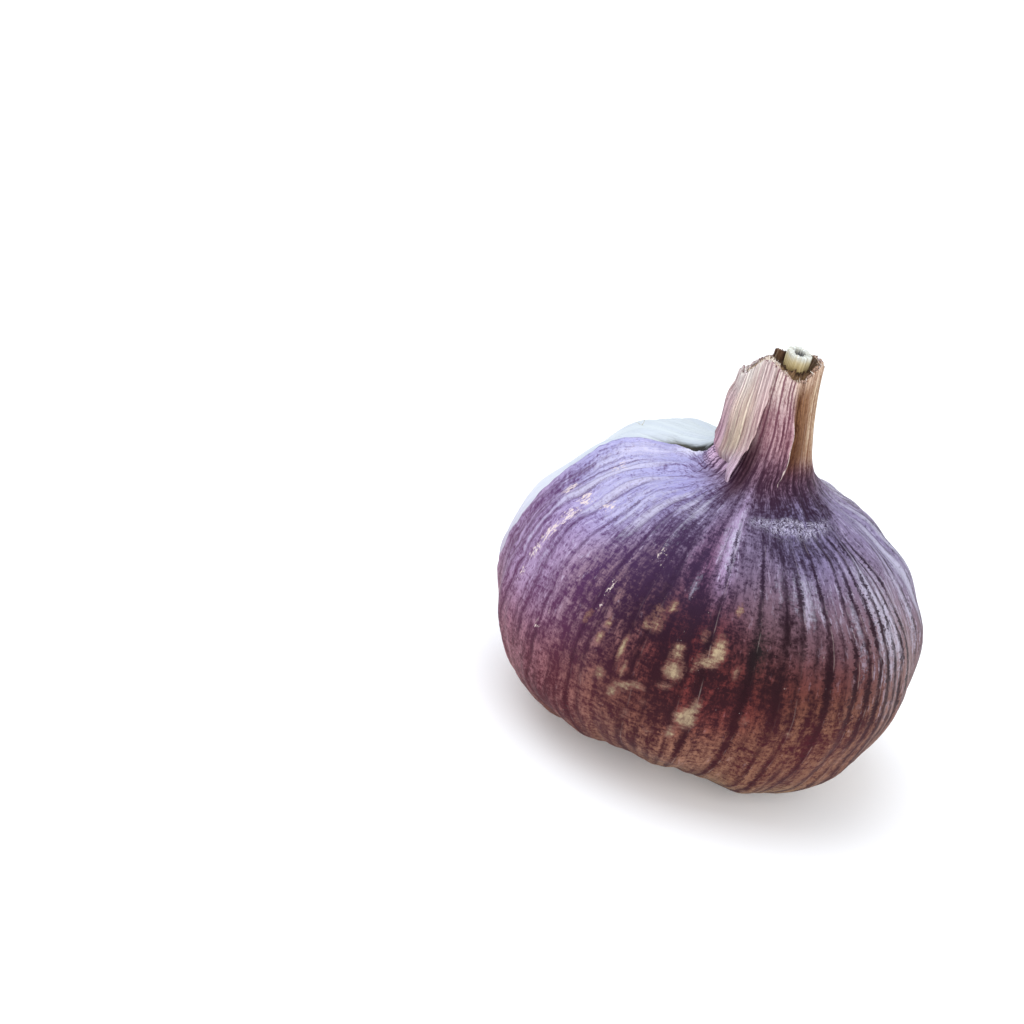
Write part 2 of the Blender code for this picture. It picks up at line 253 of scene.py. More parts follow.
@dataclass(frozen=True)
class BulbForm:
    """Shape of the skin's outer face."""

    hump: Patch = Patch(3.3, 41.0, 9.3, 139.0, 17.9)
    dip: Patch = Patch(-1.5, 50.0, 4.5, 205.0, 9.5)
    sag: Patch = Patch(-0.9, 26.0, 7.0, -47.0, 22.0)
    lift: Patch = Patch(0.45, 24.0, 6.0, -103.0, 23.0)
    hump_spread: float = 0.25
    neck_shift: float = 0.8
    neck_lean: float = 1.05
    neck_flat: float = 0.05
    neck_right: float = 0.50
    neck_left: float = 0.70
    # cut rim: direction and height
    cut_rim: tuple[tuple[float, float], ...] = (
        (0, 63.1), (20, 63.3), (40, 63.1), (60, 62.6), (80, 62.2), (100, 60.9), (120, 60.2), (140, 59.0),
        (150, 58.6), (170, 59.2), (190, 59.9), (200, 60.1), (210, 61.0), (220, 62.3), (230, 63.4),
        (240, 63.8), (250, 63.3), (260, 62.6), (270, 62.1), (280, 61.5), (290, 61.2), (300, 61.2),
        (310, 62.0), (320, 63.1), (330, 63.6), (340, 63.4))

    def relief(self, turns: np.ndarray) -> np.ndarray:
        """Swelling of the cloves: a soft maximum over their ridges."""
        total = sum(np.exp(CLOVE_BLEND * (swell - CLOVE_CURVE * (1 - np.cos(np.radians(turns - turn)))))
                    for turn, swell in CLOVES)
        return np.log(total) / CLOVE_BLEND - CLOVE_BASE

    def point(self, turns: np.ndarray, radii: np.ndarray, heights: np.ndarray) -> np.ndarray:
        """Outer face of the skin.

        Args:
            turns: directions in degrees.
            radii: profile radius.
            heights: profile height.

        Returns:
            Points (x, y, z) in millimetres: the profile turned about the
            axis, swollen by the cloves and the soft patches, with the neck
            shifted, leaned and cut aslant, and kept above the floor.
        """
        relief = self.relief(turns) * smooth(radii, 8, 13)
        relief = relief * (1 - 0.65 * smooth(heights, 33, 43)) * drop(heights, 42, 47)
        r = radii * (1 + relief)
        z = CLOVE_CENTRE_Z + (heights - CLOVE_CENTRE_Z) * (1 + relief * drop(heights, 20, 30))
        z = z + (self.sag.at(turns, radii) + self.lift.at(turns, radii)) * drop(heights, 6, 14)
        hump = (self.hump.at(turns, radii) + self.dip.at(turns, radii)) * smooth(heights, 30, 38)
        z = z + hump
        r = r + self.hump_spread * np.maximum(hump, 0)
        r = r - self.neck_right * around(turns, 5, 55) * smooth(heights, 48, 54)
        r = r + self.neck_left * around(turns, 188, 52) * bell(heights - 54.5, 4.5)
        east, north = circle(r, turns)
        x = self.neck_shift * smooth(heights, 40, 48) - self.neck_lean * smooth(heights, 50, 63) + east
        y = north * (1 - self.neck_flat * smooth(heights, 46, 52))
        cut = np.interp(turns % FULL_TURN, *np.array(self.cut_rim).T, period=FULL_TURN) - RIM_HEIGHT
        z = z + cut * smooth(heights, 54, RIM_HEIGHT)
        return np.stack([x, y, np.maximum(z, 0.0)], -1)


FORM = BulbForm()


def axis_offset() -> np.ndarray:
    """Place of the bulb's axis in the frame, from the root plate's box, in millimetres."""
    low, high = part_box("root_plate")
    return np.array([(low[0] + high[0]) / 2, (low[1] + high[1]) / 2, 0.0]) / MM


AXIS = axis_offset()


# --------------------------------------------------------------------------
# Meshes
# --------------------------------------------------------------------------
@dataclass
class Sheet:
    """Grid of points with what the finishes read."""

    points: np.ndarray
    turns: np.ndarray
    along: np.ndarray
    wrap: bool = True
    keep: np.ndarray | None = None
    lanes: np.ndarray | None = None
    tones: dict[str, np.ndarray] = field(default_factory=dict)
    masks: dict[str, np.ndarray] = field(default_factory=dict)
    close_low: bool = False
    close_high: bool = False

    def faces(self) -> np.ndarray:
        """Quads of the grid as rows of four point numbers, without the dropped cells."""
        rows, cols = self.points.shape[:2]
        span = cols if self.wrap else cols - 1
        i, j = np.meshgrid(np.arange(rows - 1), np.arange(span), indexing="ij")
        k = (j + 1) % cols
        quads = np.stack([i * cols + j, i * cols + k, (i + 1) * cols + k, (i + 1) * cols + j], -1)
        if self.keep is not None:
            quads = quads[self.keep]
        return quads.reshape(-1, 4)


def link(name: str, data: bpy.types.ID) -> bpy.types.Object:
    """New object at the origin of the scene."""
    obj = bpy.data.objects.new(name, data)
    bpy.context.scene.collection.objects.link(obj)
    return obj


def build_mesh(name: str, sheet: Sheet) -> bpy.types.Object:
    """Mesh object from a sheet.

    Args:
        name: piece name.
        sheet: grid of points; poles are closed with a fan where asked.

    Returns:
        The new object, with UV map "skin" (turn share, distance along) and
        the vector attribute "lay", the point on a cylinder of the equator's
        girth in centimetres, which has no seam.
    """
    rows, cols = sheet.points.shape[:2]
    points = sheet.points.reshape(-1, 3)
    quads = sheet.faces()
    fans = []
    extra = []
    for wanted, row in ((sheet.close_low, 0), (sheet.close_high, rows - 1)):
        if wanted:
            pole = len(points) + len(extra)
            extra.append(sheet.points[row].mean(0))
            ring = row * cols + np.arange(cols)
            nxt = np.roll(ring, -1)
            fans.append(np.stack([nxt, ring, np.full(cols, pole)] if row == 0
                                 else [ring, nxt, np.full(cols, pole)], -1))
    if extra:
        points = np.vstack([points, np.array(extra)])
    tris = np.vstack(fans) if fans else np.zeros((0, 3), int)
    used = np.zeros(len(points), bool)
    used[quads.ravel()] = True
    used[tris.ravel()] = True
    renumber = np.cumsum(used) - 1
    quads, tris = renumber[quads], renumber[tris]
    mesh = bpy.data.meshes.new(name)
    mesh.vertices.add(int(used.sum()))
    mesh.vertices.foreach_set("co", ((points[used] + AXIS) * MM).astype(np.float32).ravel())
    corners = np.concatenate([quads.ravel(), tris.ravel()])
    counts = np.concatenate([np.full(len(quads), 4), np.full(len(tris), 3)])
    mesh.loops.add(len(corners))
    mesh.loops.foreach_set("vertex_index", corners.astype(np.int32))
    mesh.polygons.add(len(counts))
    mesh.polygons.foreach_set("loop_start", np.concatenate([[0], np.cumsum(counts)[:-1]]).astype(np.int32))
    mesh.polygons.foreach_set("use_smooth", np.ones(len(counts), bool))
    mesh.update(calc_edges=True)
    mesh.validate()

    def per_point(values: np.ndarray, width: int) -> np.ndarray:
        """Grid values as one row a kept point; a pole takes its ring's mean."""
        shape = (rows, cols, width) if width > 1 else (rows, cols)
        flat = np.broadcast_to(values, shape).reshape(rows * cols, -1)
        if extra:
            rings = [flat[(0 if low else (rows - 1) * cols):][:cols].mean(0)
                     for low, wanted in ((True, sheet.close_low), (False, sheet.close_high)) if wanted]
            flat = np.vstack([flat, np.array(rings)])
        return flat[used]

    def write(key: str, values: np.ndarray, width: int) -> None:
        """Store a number or a vector at each point."""
        kind, slot = ("FLOAT", "value") if width == 1 else ("FLOAT_VECTOR", "vector")
        made = mesh.attributes.new(key, kind, "POINT")
        made.data.foreach_set(slot, per_point(values, width).astype(np.float32).ravel())

    lanes = sheet.turns if sheet.lanes is None else sheet.lanes
    run = np.broadcast_to(sheet.along, lanes.shape) / LAY_UNIT
    write("lay", np.stack([*circle(EQUATOR / LAY_UNIT, lanes), run], -1), 3)
    for key, value in sheet.masks.items():
        write(key, value, 1)
    for key, value in sheet.tones.items():
        write(key, value, 3)
    share = per_point((lanes % FULL_TURN) / FULL_TURN, 1)[:, 0]
    run = per_point(run, 1)[:, 0]
    u = share[corners]
    starts = np.concatenate([[0], np.cumsum(counts)[:-1]])
    widest = np.maximum.reduceat(u, starts)
    owner = np.repeat(np.arange(len(counts)), counts)
    u = np.where((widest[owner] - u) > 0.5, u + 1.0, u)
    layer = mesh.uv_layers.new(name="skin")
    layer.data.foreach_set("uv", np.stack([u, run[corners]], -1).astype(np.float32).ravel())
    return link(name, mesh)


def strands(name: str, base: np.ndarray, lean: np.ndarray, long: np.ndarray, thick: np.ndarray,
            taper: float = 0.35, lowest: float = 0.35, bend: float = 0.0) -> bpy.types.Object:
    """Mesh object of short six-sided tapering tubes with closed ends.

    Args:
        name: object name.
        base: foot of each strand (x, y, z) in millimetres.
        lean: direction of each strand.
        long: length of each strand.
        thick: radius of each strand at its foot.
        taper: share of the radius lost towards the tip.
        lowest: height no point goes below.
        bend: sideways bow of the strand in lengths.

    Returns:
        The object, at the origin.
    """
    sides, rings = 6, 6
    t = np.linspace(0, 1, rings)
    lean = lean / np.linalg.norm(lean, axis=-1, keepdims=True)
    side = np.cross(lean, np.array([0.3, 1.0, 0.2]))
    side /= np.linalg.norm(side, axis=-1, keepdims=True)
    other = np.cross(lean, side)
    bow = bend * (t**2)[None, :, None] * long[:, None, None] * side[:, None]
    centre = base[:, None] + lean[:, None] * (long[:, None, None] * t[None, :, None]) + bow
    a = (np.arange(sides) * 2 * np.pi / sides)[None, None, :, None]
    radius = thick[:, None] * (1.0 - taper * t)[None, :]
    hoop = np.cos(a) * side[:, None, None] + np.sin(a) * other[:, None, None]
    points = centre[:, :, None] + radius[:, :, None, None] * hoop
    points[..., 2] = np.maximum(points[..., 2], lowest)
    each = rings * sides
    i, j = np.meshgrid(np.arange(rings - 1), np.arange(sides), indexing="ij")
    nxt = (j + 1) % sides
    low = i * sides
    quads = np.stack([low + j, low + nxt, low + sides + nxt, low + sides + j], -1).reshape(-1, 4)
    first = (np.arange(len(base)) * each)[:, None]
    all_quads = (quads[None] + first[:, :, None]).reshape(-1, 4)
    foot = np.arange(sides)
    caps = np.concatenate([first + foot[None, ::-1], first + (each - sides + foot)[None, :]])
    mesh = bpy.data.meshes.new(name)
    mesh.from_pydata(((points.reshape(-1, 3) + AXIS) * MM).tolist(), [], all_quads.tolist() + caps.tolist())
    mesh.update()
    return link(name, mesh)


def thicken(obj: bpy.types.Object, thick: float, inside: int = 0) -> None:
    """Wall of an open sheet, inwards.

    Args:
        obj: sheet to close.
        thick: wall in millimetres.
        inside: how many material slots further on the inner face uses.
    """
    mod = obj.modifiers.new("wall", "SOLIDIFY")
    mod.thickness = thick * MM
    mod.offset = -1.0
    mod.use_even_offset = False
    mod.use_rim = True
    mod.material_offset = inside


def dress(obj: bpy.types.Object, slot: str, nodes: list[str],
          *finishes: bpy.types.Material) -> bpy.types.Object:
    """Give a piece its finishes and its body, and hide the nodes it stands for."""
    for finish in finishes:
        obj.data.materials.append(finish)
    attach(obj, "root")
    if nodes:
        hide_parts(*nodes)
    LOG.info("%s: %d faces", obj.name, len(obj.data.polygons))
    return obj


# --------------------------------------------------------------------------
# Shader maths
# --------------------------------------------------------------------------
class Sock:
    """A socket or number with operators that add Math nodes."""

    def __init__(self, graph: "Graph", link: bpy.types.NodeSocket) -> None:
        """Wrap an output socket."""
        self.graph, self.link = graph, link

    def _math(self, kind: str, *args: "Sock | float") -> "Sock":
        """One Math node."""
        return self.graph.node("ShaderNodeMath", {"operation": kind}, dict(enumerate(args)))

    def __add__(self, other: "Sock | float") -> "Sock":
        """Sum."""
        return self._math("ADD", self, other)

    __radd__ = __add__

    def __mul__(self, other: "Sock | float") -> "Sock":
        """Product."""
        return self._math("MULTIPLY", self, other)

    __rmul__ = __mul__

    def __sub__(self, other: "Sock | float") -> "Sock":
        """Difference."""
        return self._math("SUBTRACT", self, other)

    def __rsub__(self, other: "Sock | float") -> "Sock":
        """Reflected difference."""
        return self._math("SUBTRACT", other, self)

    def power(self, other: "Sock | float") -> "Sock":
        """Power."""
        return self._math("POWER", self, other)

    def size(self) -> "Sock":
        """Absolute value."""
        return self._math("ABSOLUTE", self)

    def part(self) -> "Sock":
        """Fractional part."""
        return self._math("FRACT", self)

    def whole(self) -> "Sock":
        """Floor."""
        return self._math("FLOOR", self)

    def wrap(self, limit: float) -> "Sock":
        """Remainder that stays between 0 and limit."""
        return self._math("WRAP", self, limit, 0.0)

    def most(self, other: "Sock | float") -> "Sock":
        """Maximum."""
        return self._math("MAXIMUM", self, other)

    def step(self, low: "Sock | float", high: "Sock | float") -> "Sock":
        """S-curve from 0 at low to 1 at high."""
        ends = {"Value": self, "From Min": low, "From Max": high, "To Min": 0.0, "To Max": 1.0}
        kind = {"interpolation_type": "SMOOTHSTEP", "clamp": True}
        return self.graph.node("ShaderNodeMapRange", kind, ends)

    def scale(self, amounts: tuple[float, float, float]) -> "Sock":
        """Vector stretched along its axes."""
        return self.graph.node("ShaderNodeVectorMath", {"operation": "MULTIPLY"}, {0: self, 1: amounts})


Value = Sock | float
Colour = Sock | tuple[float, float, float]


class Graph:
    """One material's nodes."""

    def __init__(self, name: str) -> None:
        """Start an empty material with a Principled shader."""
        self.material = bpy.data.materials.new(name)
        self.material.use_nodes = True
        self.tree = self.material.node_tree
        self.shader = self.tree.nodes["Principled BSDF"]

    def node(self, kind: str, settings: dict[str, object], inputs: dict, output: str | int = 0) -> Sock:
        """Add a node.

        Args:
            kind: node type.
            settings: its properties, set first.
            inputs: values or sockets by socket name or number.
            output: which output to hand back.

        Returns:
            The chosen output.
        """
        made = self.tree.nodes.new(kind)
        for key, value in settings.items():
            setattr(made, key, value)
        for key, value in inputs.items():
            self.feed(made.inputs[key], value)
        return Sock(self, made.outputs[output])

    def feed(self, socket: bpy.types.NodeSocket, value: object) -> None:
        """Link or set one socket."""
        if isinstance(value, Sock):
            self.tree.links.new(value.link, socket)
        elif isinstance(value, tuple) and len(socket.default_value) == 4 and len(value) == 3:
            socket.default_value = (*value, 1.0)
        else:
            socket.default_value = value

    def read(self, name: str, output: str = "Fac") -> Sock:
        """Mesh attribute."""
        return self.node("ShaderNodeAttribute", {"attribute_name": name}, {}, output)

    def turn_share(self) -> Sock:
        """Share of a turn round the bulb, from the UV map."""
        uv = self.node("ShaderNodeUVMap", {"uv_map": "skin"}, {})
        return self.node("ShaderNodeSeparateXYZ", {}, {0: uv}, "X")

    def noise(self, at: Sock, scale: float, detail: float = 2.0, rough: float = 0.5) -> Sock:
        """Noise around 0.5."""
        return self.node("ShaderNodeTexNoise", {"noise_dimensions": "3D"},
                         {"Vector": at, "Scale": scale, "Detail": detail, "Roughness": rough}, 0)

    def mix(self, amount: Value, one: Colour, two: Colour, kind: str = "MIX") -> Sock:
        """Blend of two colours."""
        made = self.tree.nodes.new("ShaderNodeMix")
        made.data_type, made.blend_type, made.clamp_factor = "RGBA", kind, True
        self.feed(made.inputs[0], amount)
        self.feed(made.inputs[6], one)
        self.feed(made.inputs[7], two)
        return Sock(self, made.outputs[2])

    def bump(self, height: Sock, distance: float, strength: float = 1.0) -> Sock:
        """Bump from a height of 0 to 1 over `distance` metres."""
        return self.node("ShaderNodeBump", {}, {"Strength": strength, "Distance": distance, "Height": height})

    def finish(self, colour: Colour, rough: Value, normal: Sock | None = None,
               **fixed: float) -> bpy.types.Material:
        """Plug the shader and hand back the material."""
        self.feed(self.shader.inputs["Base Color"], colour)
        self.feed(self.shader.inputs["Roughness"], rough)
        if normal is not None:
            self.feed(self.shader.inputs["Normal"], normal)
        for key, value in fixed.items():
            self.shader.inputs[key.replace("_", " ")].default_value = value
        return self.material


# --------------------------------------------------------------------------
# Colour washes over a form
# --------------------------------------------------------------------------
@dataclass(frozen=True)
class Wash:
    """Soft area of one colour round a point of the skin."""

    colour: tuple[int, int, int]
    turn: float
    height: float
    half_turn: float
    half_height: float
    weight: float = 1.0

    def cover(self, turns: np.ndarray, heights: np.ndarray) -> np.ndarray:
        """Weight of this wash at each point."""
        across = around(turns, self.turn, self.half_turn)
        return self.weight * across * bell(heights - self.height, self.half_height)


def blend_washes(washes: list[Wash], turns: np.ndarray, heights: np.ndarray) -> np.ndarray:
    """Linear colour at each point: the washes' mean, weighted by their cover."""
    total = np.full(np.broadcast(turns, heights).shape, 1e-9)
    colour = np.zeros(total.shape + (3,))
    for wash in washes:
        cover = wash.cover(turns, heights) + 1e-9
        total = total + cover
        colour = colour + cover[..., None] * np.array(ink(*wash.colour))
    return colour / total[..., None]


Mark = tuple[float, float, float, float, float]
LevelMark = tuple[float, float, float, float, float, float]


def spread(marks: list[Mark], turns: np.ndarray, heights: np.ndarray) -> np.ndarray:
    """Strongest of several soft marks.

    Args:
        marks: (direction, height, half width in mm, half height in mm, strength).
        turns: directions in degrees.
        heights: profile heights.

    Returns:
        0 to 1 at each point.
    """
    out = np.zeros(np.broadcast(turns, heights).shape)
    for turn, height, wide, tall, strength in marks:
        side = away(turns, turn) * np.pi / 180 * EQUATOR / wide
        out = np.maximum(out, strength * np.exp(-((side**2 + ((heights - height) / tall) ** 2) ** 1.3)))
    return out


# --------------------------------------------------------------------------
# Finishes
# --------------------------------------------------------------------------
@dataclass(frozen=True)
class Grain:
    """Noise drawn out over the skin: the smaller `up` or `across`, the longer its marks that way."""

    up: float
    scale: float
    detail: float = 2.0
    rough: float = 0.5
    across: float = 1.0

    def over(self, g: Graph, lay: Sock) -> Sock:
        """The noise on the skin's own coordinates, around 0.5."""
        return g.noise(lay.scale((self.across, self.across, self.up)), self.scale, self.detail, self.rough)


@dataclass(frozen=True)
class PurpleSkinFinish:
    """Striped, mottled papery skin: dark pigment over a lighter ground."""

    stripes: int = 84
    film_tint: tuple[int, int, int] = (200, 197, 218)
    pale_tint: tuple[int, int, int] = (226, 208, 200)
    glint_tint: tuple[int, int, int] = (206, 200, 226)
    scar_rim: tuple[int, int, int] = (132, 92, 82)
    cork_dark: tuple[int, int, int] = (116, 94, 80)
    cork_light: tuple[int, int, int] = (172, 154, 124)
    vein_tint: tuple[float, float, float] = (0.70, 0.54, 0.68)
    valley_tint: tuple[float, float, float] = (0.72, 0.62, 0.74)
    slow_wander: Grain = Grain(0.4, 0.50)
    quick_wander: Grain = Grain(0.5, 2.4)
    fading: Grain = Grain(0.45, 1.3)
    grit: Grain = Grain(0.8, 20.0, 3.0, 0.75)
    barbs: Grain = Grain(1.7, 12.0, 3.0, 0.66, 0.34)
    dashes: Grain = Grain(0.6, 5.5)
    bands: Grain = Grain(0.10, 2.3, 3.0, 0.55)
    clouds: Grain = Grain(0.50, 3.4, 4.0, 0.68)
    threads: Grain = Grain(0.14, 11.0, 4.0, 0.72)
    patches: Grain = Grain(0.9, 8.5, 4.0, 0.74, 0.8)
    silk: Grain = Grain(0.16, 3.8, 4.0, 0.64)
    flashes: Grain = Grain(0.30, 12.0, 4.0, 0.76)
    ticks: Grain = Grain(0.20, 15.0, 3.0, 0.66)
    curls: Grain = Grain(1.5, 8.0, 3.0, 0.7)
    flecks: Grain = Grain(0.8, 17.0, 3.0, 0.7)
    combs: Grain = Grain(1.6, 11.0, 4.0, 0.72, 0.55)
    meal: Grain = Grain(0.6, 10.0, 3.0, 0.7)

    def build(self) -> bpy.types.Material:
        """Pigment in drawn-out patches, silvery film, veins with barbed edges, corky scars."""
        g = Graph("purple_skin_finish")
        lay = g.read("lay", "Vector")
        light, dark, cover = g.read("light", "Vector"), g.read("dark", "Vector"), g.read("cover")
        vein_zone, film_zone, scar_zone, pale_zone = (g.read(k) for k in ("vein", "film", "scar", "pale"))
        rib, crumple = g.read("rib"), g.read("crumple")
        glint = ink(*self.glint_tint)
        # veins: evenly spaced lines that wander; each has its own strength
        wander = (self.slow_wander.over(g, lay) - 0.5) * 2.2 + (self.quick_wander.over(g, lay) - 0.5) * 0.32
        phase = g.turn_share() * float(self.stripes) + wander
        lot = self.draw(g, phase, 0.0)
        panel = self.draw(g, phase + 0.5, 17.0)
        place = phase.part() - 0.5
        reach = place.size() * 2.0
        strength = ((lot * 0.70 + self.fading.over(g, lay) * 0.9) - 0.25).most(0.0) * vein_zone
        grit, barbs = self.grit.over(g, lay), self.barbs.over(g, lay)
        dash = self.dashes.over(g, lay).step(0.36, 0.56)
        width = strength * 0.36
        ragged = reach + (barbs - 0.5) * 2.6 + (grit - 0.5) * 0.9
        core = (1.0 - ragged.step(width, width + 0.32)) * strength.step(0.05, 0.50) * (dash * 0.66 + 0.34)
        halo = (1.0 - reach).power(1.7) * strength
        # pigment: bands, patches, threads, barbs and grains, each drawn out its own way
        thread, patch = self.threads.over(g, lay), self.patches.over(g, lay)
        mixed = self.bands.over(g, lay) * 0.22 + self.clouds.over(g, lay) * 0.23 + thread * 0.17
        mixed = mixed + patch * 0.25 + barbs * 0.19 - 0.53
        pigment = cover + mixed * 3.9 + (panel - 0.5) * 0.16 + halo * 0.30 + (grit - 0.5) * 1.0
        pigment = pigment.step(0.12, 0.88)
        colour = g.mix(pigment, light, dark)
        # silvery film, then grains, dark ticks and bright flashes, which are painted glints
        silk = self.silk.over(g, lay) * 0.42 + panel * 0.22 + patch * 0.36
        film = (silk + (grit - 0.5) * 0.5 + film_zone * 0.34 - pigment * 0.12).step(0.62, 0.86)
        film = film * film_zone.step(0.0, 0.4)
        colour = g.mix(film * 0.62, colour, ink(*self.film_tint))
        stipple = (grit * 0.6 + barbs * 0.4 + halo * 0.16 + cover * 0.05).step(0.565, 0.64)
        colour = g.mix(stipple * 0.45, colour, dark)
        tick = self.ticks.over(g, lay).step(0.585, 0.66) * (1.0 - pigment * 0.5)
        colour = g.mix(tick * 0.50, colour, dark)
        sparkle = (self.flashes.over(g, lay) + film_zone * 0.06 - pigment * 0.12).step(0.53, 0.66)
        sparkle = sparkle * (0.12 + film_zone.step(0.0, 0.5) * 0.55)
        colour = g.mix(sparkle, colour, g.mix(0.5, light, glint))
        colour = g.mix(core * 0.94, colour, g.mix(1.0, dark, self.vein_tint, "MULTIPLY"))
        # valleys between the neck's ribs, and painted glints on the curls of the crumpled skin on the shoulder
        valley = (rib + (grit - 0.5) * 0.5 * rib.step(0.0, 0.3)).step(0.05, 0.62)
        colour = g.mix(valley * 0.92, colour, g.mix(1.0, dark, self.valley_tint, "MULTIPLY"))
        curl = self.curls.over(g, lay)
        curl = (1.0 - (curl - 0.5).size() * 24.0).most(1.0 - (curl - 0.64).size() * 24.0).most(0.0)
        crumple_glint = (curl * 0.9 + patch.step(0.50, 0.66) * 0.35) * crumple.step(0.2, 0.8)
        colour = g.mix(crumple_glint * 0.85, colour, glint)
        # painted highlight as a thin pale line down one side of some veins, and pale dashes
        line = (1.0 - (place - 0.17).size().step(0.012, 0.05)) * (1.0 - dash)
        line = line * (strength - 0.25).step(0.0, 0.3)
        fleck = (self.flecks.over(g, lay) + pale_zone * 0.28).step(0.69, 0.80)
        fleck = fleck * (pale_zone.step(0.0, 0.6) * 0.35 + 0.40)
        colour = g.mix((line * 0.12).most(fleck), colour, ink(*self.pale_tint))
        # corky scars: comb-like edges, a rosy rim and a mealy middle
        comb = (self.combs.over(g, lay) - 0.5) * 1.5 + (grit - 0.5) * 0.9
        scar = scar_zone + comb * scar_zone.step(0.0, 0.35)
        cork = g.mix(self.meal.over(g, lay).step(0.3, 0.7), ink(*self.cork_dark), ink(*self.cork_light))
        colour = g.mix(scar.step(0.08, 0.50) * 0.50, colour, ink(*self.scar_rim))
        colour = g.mix(scar.step(0.36, 0.92) * 0.90, colour, cork)
        crust = scar.step(0.2, 0.9)
        raised = thread * 0.5 + patch * 0.4 + film * 0.3 + crust * 0.35 + grit * 0.45
        height = raised - core * 0.16 - pigment * 0.2
        rough = 0.50 + pigment * 0.10 + crust * 0.2 - film * 0.06
        return g.finish(colour, rough, g.bump(height, 0.00024, 0.8), Specular_IOR_Level=0.10)

    def draw(self, g: Graph, phase: Sock, seed: float) -> Sock:
        """Random number for each whole step of the phase, the same across the seam."""
        cell = phase.whole().wrap(float(self.stripes))
        return g.node("ShaderNodeTexWhiteNoise", {"noise_dimensions": "1D"}, {"W": cell + seed})


@dataclass(frozen=True)
class PaperFinish:
    """Plain dry papery layer with fibres, in its own ground colours."""

    name: str
    streak_tint: tuple[float, float, float] = (0.70, 0.62, 0.58)
    streak_amount: float = 0.6
    along: float = 0.10
    scale: float = 9.0
    fleck: float = 0.3
    rough: float = 0.55
    relief: float = 0.00025
    rib: float = 0.85

    def build(self) -> bpy.types.Material:
        """Ground colour with darker fibres, valleys between ribs and small flecks."""
        g = Graph(self.name)
        lay = g.read("lay", "Vector")
        ground = g.read("ground", "Vector")
        fibre = g.noise(lay.scale((1.0, 1.0, self.along)), self.scale, 3.0, 0.6).step(0.42, 0.62)
        fleck = g.noise(lay, self.scale * 1.7, 3.0, 0.7).step(0.56, 0.72)
        colour = g.mix(fibre * self.streak_amount, ground, g.mix(1.0, ground, self.streak_tint, "MULTIPLY"))
        colour = g.mix(g.read("rib") * self.rib, colour, g.mix(1.0, ground, self.streak_tint, "MULTIPLY"))
        colour = g.mix(fleck * self.fleck, colour, g.mix(1.0, colour, self.streak_tint, "MULTIPLY"))
        return g.finish(colour, self.rough + fleck * 0.1, g.bump(fibre * 0.7 + fleck * 0.3, self.relief, 0.8),
                        Specular_IOR_Level=0.4)


@dataclass(frozen=True)
class SolidFinish:
    """Two-tone grainy material for the stalk, roots and bits."""

    name: str
    dark: tuple[int, int, int]
    light: tuple[int, int, int]
    scale: float = 900.0
    stretch: tuple[float, float, float] = (1.0, 1.0, 0.25)
    rough: float = 0.75

    def build(self) -> bpy.types.Material:
        """Noise between the two tones on object coordinates."""
        g = Graph(self.name)
        at = g.node("ShaderNodeTexCoord", {}, {}, "Object").scale(self.stretch)
        grain = g.noise(at, self.scale, 3.0, 0.65)
        fine = g.noise(at, self.scale * 3.1, 2.0, 0.6)
        tone = (grain * 0.7 + fine * 0.3).step(0.36, 0.64)
        return g.finish(g.mix(tone, ink(*self.dark), ink(*self.light)), self.rough + fine * 0.1,
                        g.bump(grain, 0.0003, 0.8), Specular_IOR_Level=0.3)


# --------------------------------------------------------------------------
# Purple outer skin
# --------------------------------------------------------------------------
class Tone:
    """Named tones of the purple skin, from pale film through rose and brick to the inky veins."""

    SILVER_LILAC = (176, 176, 212)
    LILAC = (150, 148, 198)
    MAUVE = (160, 136, 172)
    DUSTY_VIOLET = (126, 118, 156)
    GREY_PLUM = (118, 102, 126)
    FADED_PLUM = (102, 76, 86)
    ROSE_PLUM = (126, 72, 108)
    OLD_ROSE = (150, 94, 104)
    DRY_ROSE = (134, 102, 98)
    WINE = (80, 28, 32)
    BRICK = (118, 50, 48)
    DEEP_BRICK = (90, 40, 34)
    UMBER = (130, 88, 68)
    CLAY = (148, 106, 86)
    STRAW = (150, 120, 88)
    VIOLET_INK = (80, 50, 98)
    PLUM_INK = (90, 48, 84)
    AUBERGINE = (40, 24, 48)
    SOOT = (24, 22, 22)
    OX_BLOOD = (28, 5, 10)
    DARK_WINE = (42, 12, 20)
    RUST_INK = (68, 18, 28)
    BROWN_INK = (54, 22, 16)


